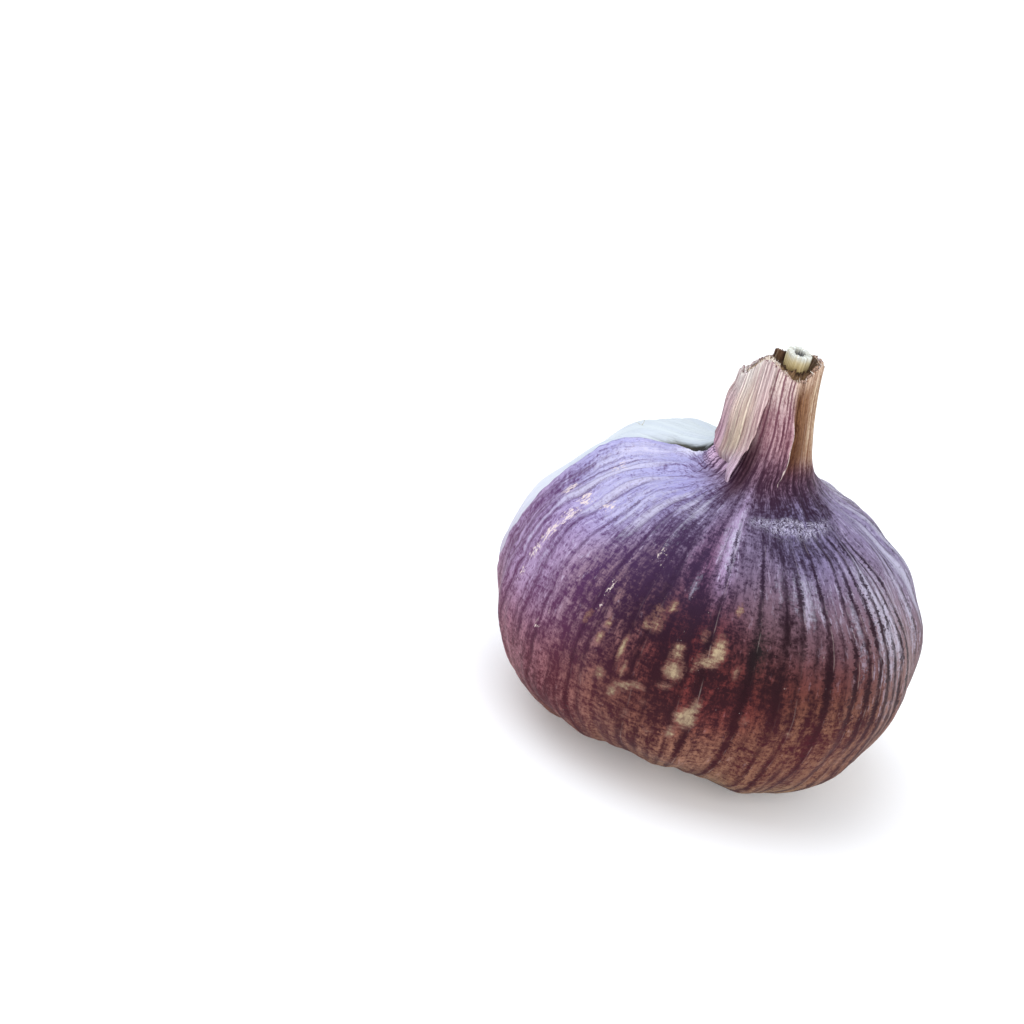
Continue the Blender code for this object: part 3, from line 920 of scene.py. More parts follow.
LIGHT_TONES = [
    # neck: cream left, mauve front, tan right
    Wash((250, 244, 238), 215, 63, 60, 8, 1.6), Wash((226, 208, 196), 255, 62, 24, 6, 1.6),
    Wash((226, 200, 192), -80, 62.5, 26, 3, 1.6), Wash((186, 140, 150), -80, 55, 34, 5, 1.4),
    Wash((190, 168, 170), 215, 52, 40, 5, 1.4), Wash((150, 120, 104), 30, 58, 60, 9, 1.0),
    Wash((190, 170, 164), 110, 56, 40, 9, 1.0), Wash((136, 98, 118), -80, 47.5, 70, 2.2, 1.6),
    # Wash((58, 20, 30)) at 249, 48.2 is painted shadow, cast by the sheath's lifted front edge onto the skin
    # beside it
    Wash((58, 20, 30), 249, 48.2, 6, 3.0, 14.0), Wash((136, 90, 102), 257, 54, 9, 3.6, 2.0),
    Wash((214, 180, 208), 203, 47.1, 26, 0.7, 6.0), Wash((222, 220, 236), 172, 45.2, 5, 1.3, 5.0),
    # shoulder
    Wash(Tone.LILAC, 205, 41, 40, 6, 1.5), Wash(Tone.SILVER_LILAC, 190, 40.5, 14, 4, 1.2),
    Wash(Tone.GREY_PLUM, -100, 40, 22, 5, 1.3), Wash(Tone.MAUVE, -94.5, 39.8, 2.8, 3.4, 5.0),
    Wash(Tone.ROSE_PLUM, -101, 38, 5, 3, 2.2), Wash(Tone.FADED_PLUM, -118, 36.4, 4, 1.8, 2.6),
    Wash(Tone.DUSTY_VIOLET, -50, 41, 26, 4, 1.3), Wash(Tone.DUSTY_VIOLET, -5, 38, 28, 6, 1.3),
    Wash((174, 168, 188), 80, 38, 50, 7, 1.2),
    # widest part
    Wash(Tone.MAUVE, 200, 29, 26, 9, 1.3), Wash(Tone.DRY_ROSE, 236, 31, 14, 8, 1.2),
    Wash(Tone.WINE, -104, 33, 14, 6, 1.2), Wash(Tone.BRICK, -98, 23, 16, 8, 1.3),
    Wash(Tone.FADED_PLUM, -76, 34, 9, 5, 1.3), Wash(Tone.DEEP_BRICK, -76, 27, 9, 4, 1.2),
    Wash(Tone.FADED_PLUM, -50, 34, 16, 5, 1.4), Wash(Tone.DEEP_BRICK, -50, 27, 15, 4, 1.2),
    Wash(Tone.DRY_ROSE, -25, 31, 16, 8, 1.3), Wash(Tone.FADED_PLUM, 20, 27, 36, 12, 1.2),
    # lower body
    Wash(Tone.OLD_ROSE, 212, 15, 26, 7, 1.2), Wash(Tone.UMBER, 244, 16, 16, 6, 1.2),
    Wash(Tone.CLAY, -96, 9, 20, 5, 1.2), Wash(Tone.UMBER, -66, 10, 18, 6, 1.2),
    Wash(Tone.UMBER, -50, 19, 14, 5, 1.2), Wash(Tone.UMBER, -22, 13, 20, 8, 1.2),
    Wash(Tone.STRAW, -55, 4, 34, 3, 1.4), Wash(Tone.UMBER, 215, 4, 40, 4, 1.0),
    Wash(Tone.STRAW, 30, 8, 40, 8, 1.0), Wash((148, 128, 140), 110, 18, 60, 12, 1.0),
    Wash(Tone.STRAW, 90, 2, 110, 3, 0.9),
]
TAN_LIGHT = [Wash((206, 184, 158), -12, 57, 24, 8, 1.2), Wash((140, 100, 70), -58, 57, 13, 4, 2.2),
             Wash((112, 74, 50), -60, 51, 15, 3.6, 2.6), Wash((176, 148, 128), -12, 50, 20, 3, 1.3),
             Wash((168, 132, 146), -22, 47, 34, 1.8, 1.5), Wash((100, 50, 56), -62, 46.8, 12, 1.6, 2.2),
             Wash((214, 188, 168), -20, 62.5, 50, 1.6, 1.4)]
TAN_DARK = [Wash((136, 94, 62), -14, 58, 30, 8, 1.2), Wash((76, 44, 30), -60, 53, 12, 6, 1.5),
            Wash((66, 34, 46), -40, 46.5, 60, 2.0, 1.8)]
DARK_TONES = [
    # neck
    Wash((140, 96, 100), 250, 60, 60, 8, 1.5), Wash((96, 48, 68), -85, 54, 60, 5, 1.3),
    Wash((96, 66, 46), 30, 57, 60, 8, 1.0), Wash((48, 22, 40), -80, 47, 70, 3, 1.6),
    # painted shadow beside the sheath's lifted front edge
    Wash((40, 12, 22), 249, 48.2, 6, 3.0, 6.0),
    # shoulder
    Wash(Tone.VIOLET_INK, 205, 38, 45, 8, 1.4), Wash(Tone.AUBERGINE, -110, 40, 22, 7, 1.2),
    Wash(Tone.AUBERGINE, -50, 42, 40, 5, 1.3), Wash(Tone.AUBERGINE, 10, 38, 50, 8, 1.1),
    # painted shade in the hollow under the crumpled rise in front of the neck
    Wash(Tone.AUBERGINE, -56, 40.9, 14, 0.9, 3.0),
    # widest part
    Wash(Tone.PLUM_INK, 200, 25, 30, 9, 1.2), Wash(Tone.OX_BLOOD, -108, 31, 20, 7, 1.3),
    Wash(Tone.OX_BLOOD, -74, 30, 14, 7, 1.3), Wash(Tone.SOOT, -78.5, 29.8, 1.8, 2.4, 3.0),
    Wash(Tone.DARK_WINE, -95, 21, 24, 9, 1.4), Wash(Tone.DARK_WINE, -35, 30, 24, 7, 1.3),
    Wash(Tone.DARK_WINE, 30, 26, 50, 12, 1.1),
    # lower body
    Wash(Tone.RUST_INK, 222, 13, 26, 8, 1.3), Wash(Tone.RUST_INK, -60, 12, 30, 8, 1.3),
    Wash(Tone.BROWN_INK, -10, 10, 40, 7, 1.0), Wash((124, 78, 80), 110, 10, 80, 9, 0.8),
]
COVER = [(205, 40, 40, 7, 0.34, 1.3), (236, 40, 10, 6, 0.62, 1.2), (-102, 41, 14, 4, 0.42, 1.3),
         (-110, 34.5, 12, 5, 0.80, 1.4), (-75, 34, 12, 5, 0.36, 1.3), (-78.5, 29.8, 1.8, 2.4, 0.74, 3.0),
         (-50, 44, 34, 2.2, 0.86, 1.6),
         (-50, 37.5, 18, 4, 0.24, 1.3), (-10, 37, 30, 7, 0.22, 1.2), (80, 36, 50, 9, 0.40, 1.0),
         (200, 29, 22, 8, 0.46, 1.2), (214, 20, 20, 6, 0.60, 1.2), (240, 26, 14, 8, 0.66, 1.2),
         (-100, 24, 16, 8, 0.70, 1.3), (-82, 26, 9, 4.5, 0.80, 1.4), (-54, 30, 13, 6, 0.34, 1.2),
         (-30, 31, 14, 9, 0.20, 1.2), (10, 27, 30, 11, 0.24, 1.1), (-52, 18, 16, 6, 0.62, 1.2),
         (-75, 11, 18, 6, 0.46, 1.2), (-98, 10, 14, 5, 0.50, 1.2), (240, 14, 24, 7, 0.66, 1.2),
         (-25, 12, 20, 8, 0.40, 1.1), (120, 20, 70, 12, 0.42, 1.0), (-60, 3, 60, 3, 0.40, 1.1),
         (215, 58, 60, 9, 0.26, 1.2), (-80, 60, 30, 5, 0.34, 1.2), (-80, 52, 40, 5, 0.46, 1.2),
         (203, 47.1, 26, 0.7, 0.2, 6.0), (172, 45.2, 5, 1.3, 0.05, 5.0),
         # (-60, 40.6) darkens the hollow under the crumpled rise: painted shade
         (-60, 40.6, 16, 1.1, 0.74, 2.0), (257, 54, 9, 3.6, 0.62, 2.0), (190, 40.5, 14, 4, 0.26, 1.5),
         (178, 41.5, 14, 2.6, 0.12, 2.0), (-30, 56, 26, 8, 0.30, 1.5),
         (-70, 46.4, 80, 1.8, 0.72, 1.5), (190, 47, 40, 3, 0.5, 1.0)]
VEIN_MARKS = [(-46, 28, 26, 18, 1.0), (10, 26, 34, 18, 0.6), (-85, 22, 16, 16, 0.85), (60, 24, 40, 20, 0.95),
              (130, 22, 30, 18, 0.9), (-140, 26, 40, 20, 0.5), (-60, 8, 40, 9, 0.9), (-120, 8, 30, 8, 0.7),
              (-50, 38, 34, 6, 0.85), (-150, 38, 30, 6, 0.5)]
FILM_MARKS = [(-150, 39, 24, 5, 0.9), (-175, 41, 20, 3, 0.7), (-168, 37, 14, 5, 0.5), (-146, 31, 18, 6, 0.4),
              (-102, 35.1, 1.1, 2.0, 0.62), (-125, 41.5, 10, 3, 0.7), (-94, 40, 2.4, 4.6, 1.0),
              (-62, 36.5, 10, 4, 0.5),
              (-30, 33, 12, 9, 0.7), (0, 34, 16, 10, 0.85), (40, 34, 30, 12, 0.7), (110, 36, 40, 10, 0.6),
              (-48, 42.6, 12, 1.4, 0.4), (-20, 42.0, 10, 1.6, 0.5), (-35, 22, 10, 5, 0.3)]
SCARS = [
    (-89.5, 28.4, 1.25, 1.9, 0.92), (-92.0, 26.9, 1.5, 0.9, 0.7), (-99.5, 27.0, 1.1, 1.2, 0.62),
    (-99.0, 24.3, 1.45, 1.45, 1.08), (-92.5, 17.7, 1.5, 1.8, 1.12), (-90.8, 20.2, 0.8, 1.3, 0.8),
    (-95.0, 14.2, 0.8, 1.0, 0.8), (-110.5, 18.8, 1.3, 0.8, 0.8), (-107.0, 19.8, 1.5, 0.7, 0.78),
    (-112.8, 17.3, 0.8, 1.0, 0.85), (-117.0, 19.3, 0.9, 1.2, 0.75), (-113.5, 24.3, 0.40, 1.8, 1.0),
    (-111.5, 21.5, 0.4, 1.2, 0.85), (-120.0, 24.2, 0.55, 0.8, 0.9), (-119.6, 26.6, 0.5, 1.0, 0.7),
    (-125.5, 26.1, 0.6, 0.7, 0.75), (-110.0, 28.9, 0.7, 0.7, 0.7), (-107.0, 29.4, 1.0, 1.3, 0.62),
    (-108.4, 30.8, 1.0, 0.9, 0.45), (-105.0, 31.9, 0.7, 0.7, 0.85), (-83.5, 26.2, 0.7, 0.7, 0.62),
    (-86.0, 33.8, 0.65, 0.65, 0.85), (-94.0, 25.3, 0.5, 0.5, 0.6), (-94.0, 30.0, 0.8, 1.1, 0.36),
    (-78.0, 19.5, 0.8, 0.9, 0.4), (-66.0, 19.0, 0.9, 0.8, 0.4), (-100.0, 21.4, 1.3, 0.6, 0.42),
    (-104.0, 17.5, 0.9, 0.6, 0.42), (-100.5, 13.0, 1.0, 0.8, 0.4), (-108.0, 14.5, 0.8, 1.1, 0.4),
]
PALE_MARKS = [(-155, 34.2, 2.0, 1.7, 1.0), (-154, 31.6, 1.3, 2.0, 1.0), (-153.5, 28.6, 1.0, 2.2, 0.95),
              (-153, 25.0, 0.6, 2.4, 0.8), (-170, 35.0, 2.4, 1.2, 1.0), (-158, 36.3, 2.2, 0.9, 1.0),
              (-148, 37.6, 1.8, 0.7, 1.1), (-170, 39.6, 4.0, 0.9, 0.7), (-117, 36.5, 2.0, 1.2, 0.5),
              (-136, 24.0, 0.5, 0.6, 1.0), (-138.5, 21.0, 0.5, 0.8, 0.9), (-124, 31.2, 0.45, 1.6, 0.9),
              (-124, 28.6, 0.35, 1.4, 0.8)]


def level(marks: list[LevelMark], turns: np.ndarray, heights: np.ndarray) -> np.ndarray:
    """Weighted mean of marks (direction, height, half turn, half height, value, weight)."""
    total = np.full(np.broadcast(turns, heights).shape, 1e-9)
    value = np.full(total.shape, 0.5e-9)
    for turn, height, wide, tall, amount, weight in marks:
        cover = weight * around(turns, turn, wide) * bell(heights - height, tall) + 1e-9
        total, value = total + cover, value + cover * amount
    return value / total


@dataclass
class PurpleSkin:
    """The purple outer skin: body, neck tube, tear and the overlapping margin on the neck."""

    thick: float = 0.28
    columns: int = 336
    steps: tuple[int, ...] = (3, 3, 4, 4, 5, 7, 7, 7, 8, 8, 18, 20, 22, 10, 9, 9)
    tear_z: tuple[float, float] = (12.0, 47.2)
    tear_turns: tuple[float, float] = (96.4, 167.1)
    tear_heights: tuple[float, ...] = (12.0, 16.0, 20.0, 24.0, 28.0, 33.0, 37.0, 41.0, 43.0, 44.2, 45.5, 47.4)
    tear_near: tuple[float, ...] = (177, 182, 184.5, 185, 182, 176, 173, 168.5, 166.5, 170, 176, 181)
    tear_far: tuple[float, ...] = (170, 160, 150, 139, 128, 112, 102, 96, 96, 96, 97, 98)
    margin_turn: float = 293.6
    margin_heights: tuple[float, ...] = (44.0, 46.3, 48.0, 49.7, 52.0, 57.0, 62.6)
    margin_turns: tuple[float, ...] = (290.0, 290.0, 293.5, 296.5, 295.0, 292.0, 288.0)
    margin_end: float = 30.0
    step: float = 0.34
    lip: float = 0.25

    def rows(self) -> np.ndarray:
        """Profile rows."""
        return catmull(SKIN_PROFILE, list(self.steps))

    def distance(self, rows: np.ndarray) -> np.ndarray:
        """Distance along this skin's profile at rows of another one."""
        own = self.rows()
        low = int(np.argmin(own[:, 1]))
        run = arc_length(own)
        below = np.arange(len(rows)) < int(np.argmin(rows[:, 1]))
        up = np.interp(rows[:, 1], own[low:, 1], run[low:])
        down = np.interp(rows[:, 0], own[: low + 1, 0], run[: low + 1])
        return np.where(below, down, up)[:, None]

    def margin(self, heights: np.ndarray) -> np.ndarray:
        """Direction of the overlapping margin at each height, slightly wavy."""
        line = np.interp(heights, self.margin_heights, self.margin_turns)
        return line + 0.9 * ripple(np.zeros(1), heights, 4.5, 9)

    def columns_at(self, heights: np.ndarray, along: np.ndarray) -> np.ndarray:
        """Direction of each column at each row.

        The columns nearest the tear and the margin are drawn onto those
        edges and their neighbours follow in proportion, so each edge is a
        grid line.
        """
        base = even_turns(self.columns)[0]
        far0, near0 = self.tear_turns
        flat = np.zeros(1)
        rag = (ripple(flat, along[:, None], 5.0, 3) * 0.5 + ripple(flat, along[:, None], 1.7, 4) * 0.3)[:, 0]
        near = np.interp(heights, self.tear_heights, self.tear_near) + rag
        far = np.interp(heights, self.tear_heights, self.tear_far) + np.roll(rag, 7) * 1.6
        edge = self.margin_turn + (self.margin(heights) - self.margin_turn) * smooth(heights, 44, 46.5)
        marks = [0, 30, far0, near0, 240, self.margin_turn, 340, FULL_TURN]
        return np.array([np.interp(base, marks, [0, 30, f, n, 240, e, 340, FULL_TURN])
                         for f, n, e in zip(far, near, edge)])

    def tan_zone(self, turns: np.ndarray, heights: np.ndarray) -> np.ndarray:
        """1 where the inner, tan leaf shows to the right of the margin."""
        right = away(turns, self.margin(heights))
        soft = 7.0 * smooth(heights, 54.5, 58.5)
        before_end = drop(away(turns, self.margin_end), -1.5, 0.5)
        return smooth(right, 0.1 - soft, 1.1 + soft) * before_end * smooth(heights, 46.2, 49.0)

    def valleys(self, turns: np.ndarray, along: np.ndarray) -> np.ndarray:
        """Valleys between the neck's ribs: a coarse set and a fine set."""
        return np.maximum(ribs(turns, along, 62, 121), 0.5 * ribs(turns, along, 104, 131))

    def surface(self, turns: np.ndarray, rows: np.ndarray, along: np.ndarray,
                lift: np.ndarray | float = 0.0, wrap: bool = True) -> np.ndarray:
        """Outer face with the fine relief of veins, ribs and wrinkles.

        Args:
            turns: directions in degrees.
            rows: profile rows.
            along: distance along this skin's profile at each row.
            lift: extra height over the face, for the layers above and below it.
            wrap: whether the columns close round the bulb.

        Returns:
            The form's points moved along its smooth normals.
        """
        heights = rows[:, 1:]
        grid = FORM.point(turns, rows[:, :1], heights)
        body = smooth(along, 6, 16) * drop(heights, 44, 47)
        neck = smooth(heights, 43.5, 50)
        push = 0.05 * waves(turns, along, (34, 70), 21) * body
        push = push + 0.12 * waves(turns, along, (9, 26), 22) * body
        push = push + 0.14 * ripple(turns, along, 11.0, 23) * body
        push = push + 0.12 * waves(turns, along, (20, 44), 24, 0.25, 18) * neck
        push = push - 0.20 * self.valleys(turns, along) * smooth(heights, 43.5, 48)
        # the outer leaf lies over the tan one and ends in a step
        right = away(turns, self.margin(heights))
        over = smooth(right, -34, -3) * drop(right, -0.2, 1.0)
        past = away(turns, self.margin_end)
        back = 0.6 * smooth(past, 0, 1.2) * drop(past, 4, 40)
        push = push + self.step * (over + back) * smooth(heights, 45.4, 48.6)
        # crumpled rise on the shoulder in front of the neck, hollow below it
        arc = around(turns, -52, 36)
        crumple = 1 + 0.5 * waves(turns, along, (50, 84), 26) + 0.7 * ripple(turns, along, 2.2, 27)
        push = push + 0.17 * bell(heights - 42.5, 0.8) * arc * crumple
        fine = 0.05 * ripple(turns, along, 2.6, 28)
        push = push + fine * bell(heights - 41.8, 2.0) * around(turns, -40, 46)
        push = push - 0.28 * bell(heights - 40.9, 1.0) * arc - 0.25 * bell(heights - 46.0, 1.1) * arc
        # collar where the shoulder skin rides up round the foot of the sheath
        push = push + 0.30 * around(turns, 203, 27) * smooth(heights, 45.4, 46.8) * drop(heights, 47.1, 47.6)
        # wrinkles sweeping round the foot of the neck beside the tear
        sweep = along * 7.4 - away(turns, 200) * 0.07 + 1.0 * ripple(turns, along, 16.0, 29)
        push = push + 0.11 * np.sin(sweep) * around(turns, 200, 27) * bell(heights - 45.4, 1.9)
        grid = grid + (push + lift)[..., None] * normals(grid, wrap)
        grid[..., 2] = np.maximum(grid[..., 2], 0.0)
        return grid

    def build(self) -> bpy.types.Object:
        """The skin, with its wall and torn window."""
        rows = self.rows()
        along = arc_length(rows)[:, None]
        heights = rows[:, 1]
        turns = self.columns_at(heights, along[:, 0])
        base = even_turns(self.columns)[0]
        near = around(base, self.tear_turns[1], 6.0)[None, :]
        lip = near * (smooth(heights, 33, 38) * drop(heights, 40, 41.5))[:, None]
        edge = around(base, self.tear_turns[1], 3.0) + around(base, self.tear_turns[0], 3.0)
        edge = edge[None, :] * (smooth(heights, 12, 16) * drop(heights, 40, 43))[:, None]
        sunk = near * (smooth(heights, 41, 43) * drop(heights, 45.5, 47))[:, None]
        grid = self.surface(turns, rows, along, self.lip * lip + 0.12 * edge - 0.35 * sunk)
        # cut rim, slightly uneven, higher under the sheath's front
        top = smooth(heights, 60.5, 62.6)[:, None]
        jags = 0.09 * waves(turns, along * 0, (8, 22), 31) + 0.03 * waves(turns, along * 0, (60, 84), 32)
        grid[..., 2] += top * jags
        mid = (heights[:-1] + heights[1:]) / 2
        centre = base + FULL_TURN / self.columns / 2
        in_tear = (mid > self.tear_z[0]) & (mid < self.tear_z[1])
        torn = in_tear[:, None] & ((centre > self.tear_turns[0]) & (centre < self.tear_turns[1]))[None, :]
        hh = np.broadcast_to(heights[:, None], turns.shape)
        twist = 42.0 * around(turns, 207, 27) * smooth(hh, 43.8, 47.2)
        sheet = Sheet(grid, turns, along, keep=~torn, lanes=base[None, :] - twist)
        tan = self.tan_zone(turns, hh)[..., None]
        for key, purple, brown in (("light", LIGHT_TONES, TAN_LIGHT), ("dark", DARK_TONES, TAN_DARK)):
            skin, leaf = blend_washes(purple, turns, hh), blend_washes(brown, turns, hh)
            sheet.tones[key] = skin * (1 - tan) + leaf * tan
        sheet.masks["cover"] = level(COVER, turns, hh)
        sheet.masks["vein"] = np.clip(spread(VEIN_MARKS, turns, hh), 0, 1) * drop(hh, 40, 45)
        sheet.masks["film"] = spread(FILM_MARKS, turns, hh)
        sheet.masks["scar"] = spread(SCARS, turns, hh)
        seam = bell(away(turns, self.margin(hh)) + 0.4, 1.3) * smooth(hh, 45.5, 47.5) * drop(hh, 54, 58)
        sheet.masks["rib"] = self.valleys(turns, along) * smooth(hh, 43.5 - 2.5 * around(turns, -8, 40), 46.5)
        # where the crumpled skin on the shoulder gets its painted glints
        arc = around(turns, -60, 30)
        sheet.masks["crumple"] = arc * (bell(hh - 42.3, 0.62) + 0.30 * bell(hh - 41.0, 1.4)) \
            + 0.45 * around(turns, -122, 12) * bell(hh - 41.5, 1.6) \
            + 0.55 * around(turns, 178, 18) * bell(hh - 41.0, 3.0) \
            + 0.35 * around(turns, 200, 22) * bell(hh - 37, 4)
        # lighter strip on the shoulder with a crisp right edge
        strip = smooth(away(turns, -97.5), -3.5, 1.5) * drop(away(turns, -91.5), -0.5, 0.15)
        strip = strip * bell(hh - 39.8, 3.6)
        sheet.masks["cover"] = sheet.masks["cover"] - 0.30 * strip
        sheet.masks["pale"] = np.maximum(spread(PALE_MARKS, turns, hh), 1.3 * seam)
        obj = build_mesh("purple_skin", sheet)
        thicken(obj, self.thick, 1)
        return dress(obj, "purple_skin", ["outer_wrapper"], PurpleSkinFinish().build(), lining_finish())


def lining_finish() -> bpy.types.Material:
    """Pale inner face and torn edges of the purple skin."""
    g = Graph("skin_lining_finish")
    lay = g.read("lay", "Vector")
    fibre = g.noise(lay.scale((1.0, 1.0, 0.12)), 9.0, 3.0, 0.6).step(0.4, 0.62)
    return g.finish(g.mix(fibre, ink(222, 210, 208), ink(178, 150, 160)), 0.6, g.bump(fibre, 0.0002, 0.6),
                    Specular_IOR_Level=0.35)


# --------------------------------------------------------------------------
# White inner skin and the brown inner neck
# --------------------------------------------------------------------------
@dataclass
class CloveSkin:
    """Smooth white skin over the cloves, seen in the tear."""

    depth: float = 0.62
    bulge: float = 0.52
    columns: int = 240
    steps: tuple[int, ...] = (2, 2, 2, 2, 3, 5, 6, 6, 7, 7, 7, 7, 6, 4)

    def build(self, skin: PurpleSkin) -> bpy.types.Object:
        """Closed body a little inside the purple skin, swelling into its tear."""
        rows = catmull(SKIN_PROFILE[:15], list(self.steps))
        along = skin.distance(rows)
        heights = rows[:, 1]
        turns = even_turns(self.columns, len(rows))
        near = np.interp(heights, skin.tear_heights, skin.tear_near)[:, None]
        far = np.interp(heights, skin.tear_heights, skin.tear_far)[:, None]
        room = np.minimum(near - turns % FULL_TURN, turns % FULL_TURN - far) * np.pi / 180 * rows[:, :1]
        inside = smooth(room, 0.0, 3.0) * (smooth(heights, 13, 19) * drop(heights, 43.5, 47))[:, None]
        push = -self.depth + self.bulge * inside
        push = push + 0.04 * waves(turns, along, (12, 40), 41) * inside
        aside = (near - turns % FULL_TURN) * np.pi / 180 * rows[:, :1]
        gap = smooth(heights, 39.5, 41.5) * drop(heights, 44.5, 46)
        push = push - 1.3 * bell(aside - 0.6, 1.6) * gap[:, None]
        push = push - 0.6 * smooth(heights, 45, 48)[:, None] * (1 - around(turns, 145, 45))
        grid = skin.surface(turns, rows, along, push)
        grid[..., 2] = np.maximum(grid[..., 2], 0.6)
        low = smooth(-rows[:, 0], -9.5, -7.0)[:, None]
        grid[..., 2] += 0.8 * low
        sheet = Sheet(grid, turns, along, close_low=True, close_high=True)
        hh = np.broadcast_to(heights[:, None], turns.shape)
        ground = blend_washes([
            Wash((194, 203, 208), 140, 41, 60, 8, 1.6), Wash((204, 206, 218), 160, 30, 40, 8, 1.2),
            Wash((150, 132, 160), 170, 18, 30, 7, 1.0), Wash((180, 172, 168), 0, 25, 180, 30, 0.3),
        ], turns, hh)
        # painted shadow: the white skin in the gap under the torn purple edge turns olive, and black by the
        # neck
        shade = drop(aside + 0.25 * ripple(turns, along, 4.0, 43), 1.5, 2.1) * smooth(aside, -4, -2)
        shade = (shade * (smooth(heights, 41.6, 42.8) * drop(heights, 47, 48))[:, None])[..., None]
        gloom = blend_washes([
            Wash((104, 98, 66), 165, 41, 40, 2.2, 1.0), Wash((22, 18, 16), 172, 45.5, 40, 2.2, 1.4),
        ], turns, hh)
        sheet.tones["ground"] = ground * (1 - shade) + gloom * shade
        obj = build_mesh("white_inner_skin", sheet)
        finish = PaperFinish("white_inner_skin_finish", (0.84, 0.84, 0.93), 0.45, 0.10, 6.0, 0.12,
                             rough=0.42, relief=0.00012)
        return dress(obj, "inner_skin", ["inner_bulb"], finish.build())


@dataclass
class InnerNeck:
    """Brown ribbed inner neck, packed round the stalk."""

    columns: int = 240
    floor: float = 61.6
    socket: tuple[float, float] = (1.0, -0.5)
    socket_radius: float = 1.95

    def build(self, skin: PurpleSkin) -> bpy.types.Object:
        """Thick-walled tube: outer face up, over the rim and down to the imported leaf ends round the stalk."""
        rows = catmull(SKIN_PROFILE[12:], [6, 9, 9, 9])
        along = skin.distance(rows)
        heights = rows[:, 1]
        turns = even_turns(self.columns, len(rows))
        push = -0.50 - 0.9 * around(turns, 145, 45) * drop(heights, 48, 50)[:, None]
        outer = skin.surface(turns, rows, along, push)
        rim = outer[-1].copy()
        rim[:, 2] += 0.10 * waves(turns[-1], along[-1] * 0, (10, 30), 53)
        angle = np.radians(turns[-1])
        target = np.stack([self.socket[0] + self.socket_radius * np.cos(angle),
                           self.socket[1] + self.socket_radius * np.sin(angle), rim[:, 2]], -1)
        wall = 1 + 1.3 * around(turns[-1], 0, 50)
        deep = np.minimum(rim[:, 2] - 0.3, self.floor)
        shares = (0.04, 0.09, 0.13, 0.17, 0.22, 0.28, 0.36, 0.44, 0.52, 0.60, 0.68, 0.76, 0.84, 0.92, 1.0)
        loops = [rim]
        for number, share in enumerate(shares):
            place = share ** (1 / (1 + 0.25 * (wall - 1))) * np.ones_like(wall)
            inner = deep + (self.floor + 0.25 - deep) * smooth(place, 0.3, 1.0)
            inner = inner + 0.20 * ripple(turns[-1], np.full(1, share * 9.0), 9.0, 55)
            inner = inner + 0.13 * np.sin(share * 34)
            fall = smooth(share / wall, 0.09, 0.26)
            height = (rim[:, 2] + 0.10 * bell(share / wall - 0.08, 0.06)) * (1 - fall) + inner * fall
            loop = rim + place[:, None] * (target - rim)
            loop[:, 2] = height
            loops.append(loop)
        last = loops[-1].copy()
        last[:, 2] -= 1.2
        loops.append(last)
        grid = np.concatenate([outer[:-1], np.array(loops)])
        turns = np.broadcast_to(turns[:1], grid.shape[:2])
        far = np.concatenate([along[:-1, 0], along[-1, 0] + np.arange(len(loops)) * 0.35])[:, None]
        hh = np.concatenate([heights[:-1], heights[-1] + np.arange(len(loops)) * 0.5])[:, None]
        hh = np.broadcast_to(hh, grid.shape[:2])
        sheet = Sheet(grid, turns, far, close_low=True, close_high=True)
        sheet.tones["ground"] = blend_washes([
            Wash((196, 176, 160), -10, 60, 60, 2.2, 1.2), Wash((140, 104, 78), -50, 56, 14, 5, 1.2),
            Wash((150, 118, 92), 120, 56, 100, 9, 0.6),
            Wash((240, 234, 226), 222, 63.0, 34, 0.9, 3.0), Wash((214, 182, 168), -80, 63.0, 40, 0.7, 2.6),
            Wash((166, 126, 92), 20, 63.2, 60, 0.9, 2.4), Wash((196, 170, 146), 130, 63.2, 50, 0.9, 2.4),
            Wash((84, 60, 38), -90, 65.0, 180, 0.8, 2.6), Wash((152, 118, 82), -90, 67.0, 180, 1.2, 2.2),
            Wash((168, 138, 104), 150, 67.0, 60, 1.4, 2.0), Wash((92, 66, 42), -90, 70.0, 180, 0.9, 2.6),
        ], turns, hh)
        sheet.masks["rib"] = ribs(turns, far, 60, 141) * 0.8
        obj = build_mesh("inner_neck", sheet)
        finish = PaperFinish("inner_neck_finish", (0.48, 0.38, 0.32), 0.65, 0.25, 13.0, 0.5, 0.6, 0.0005)
        return dress(obj, "inner_skin", ["inner_bulb"], finish.build())


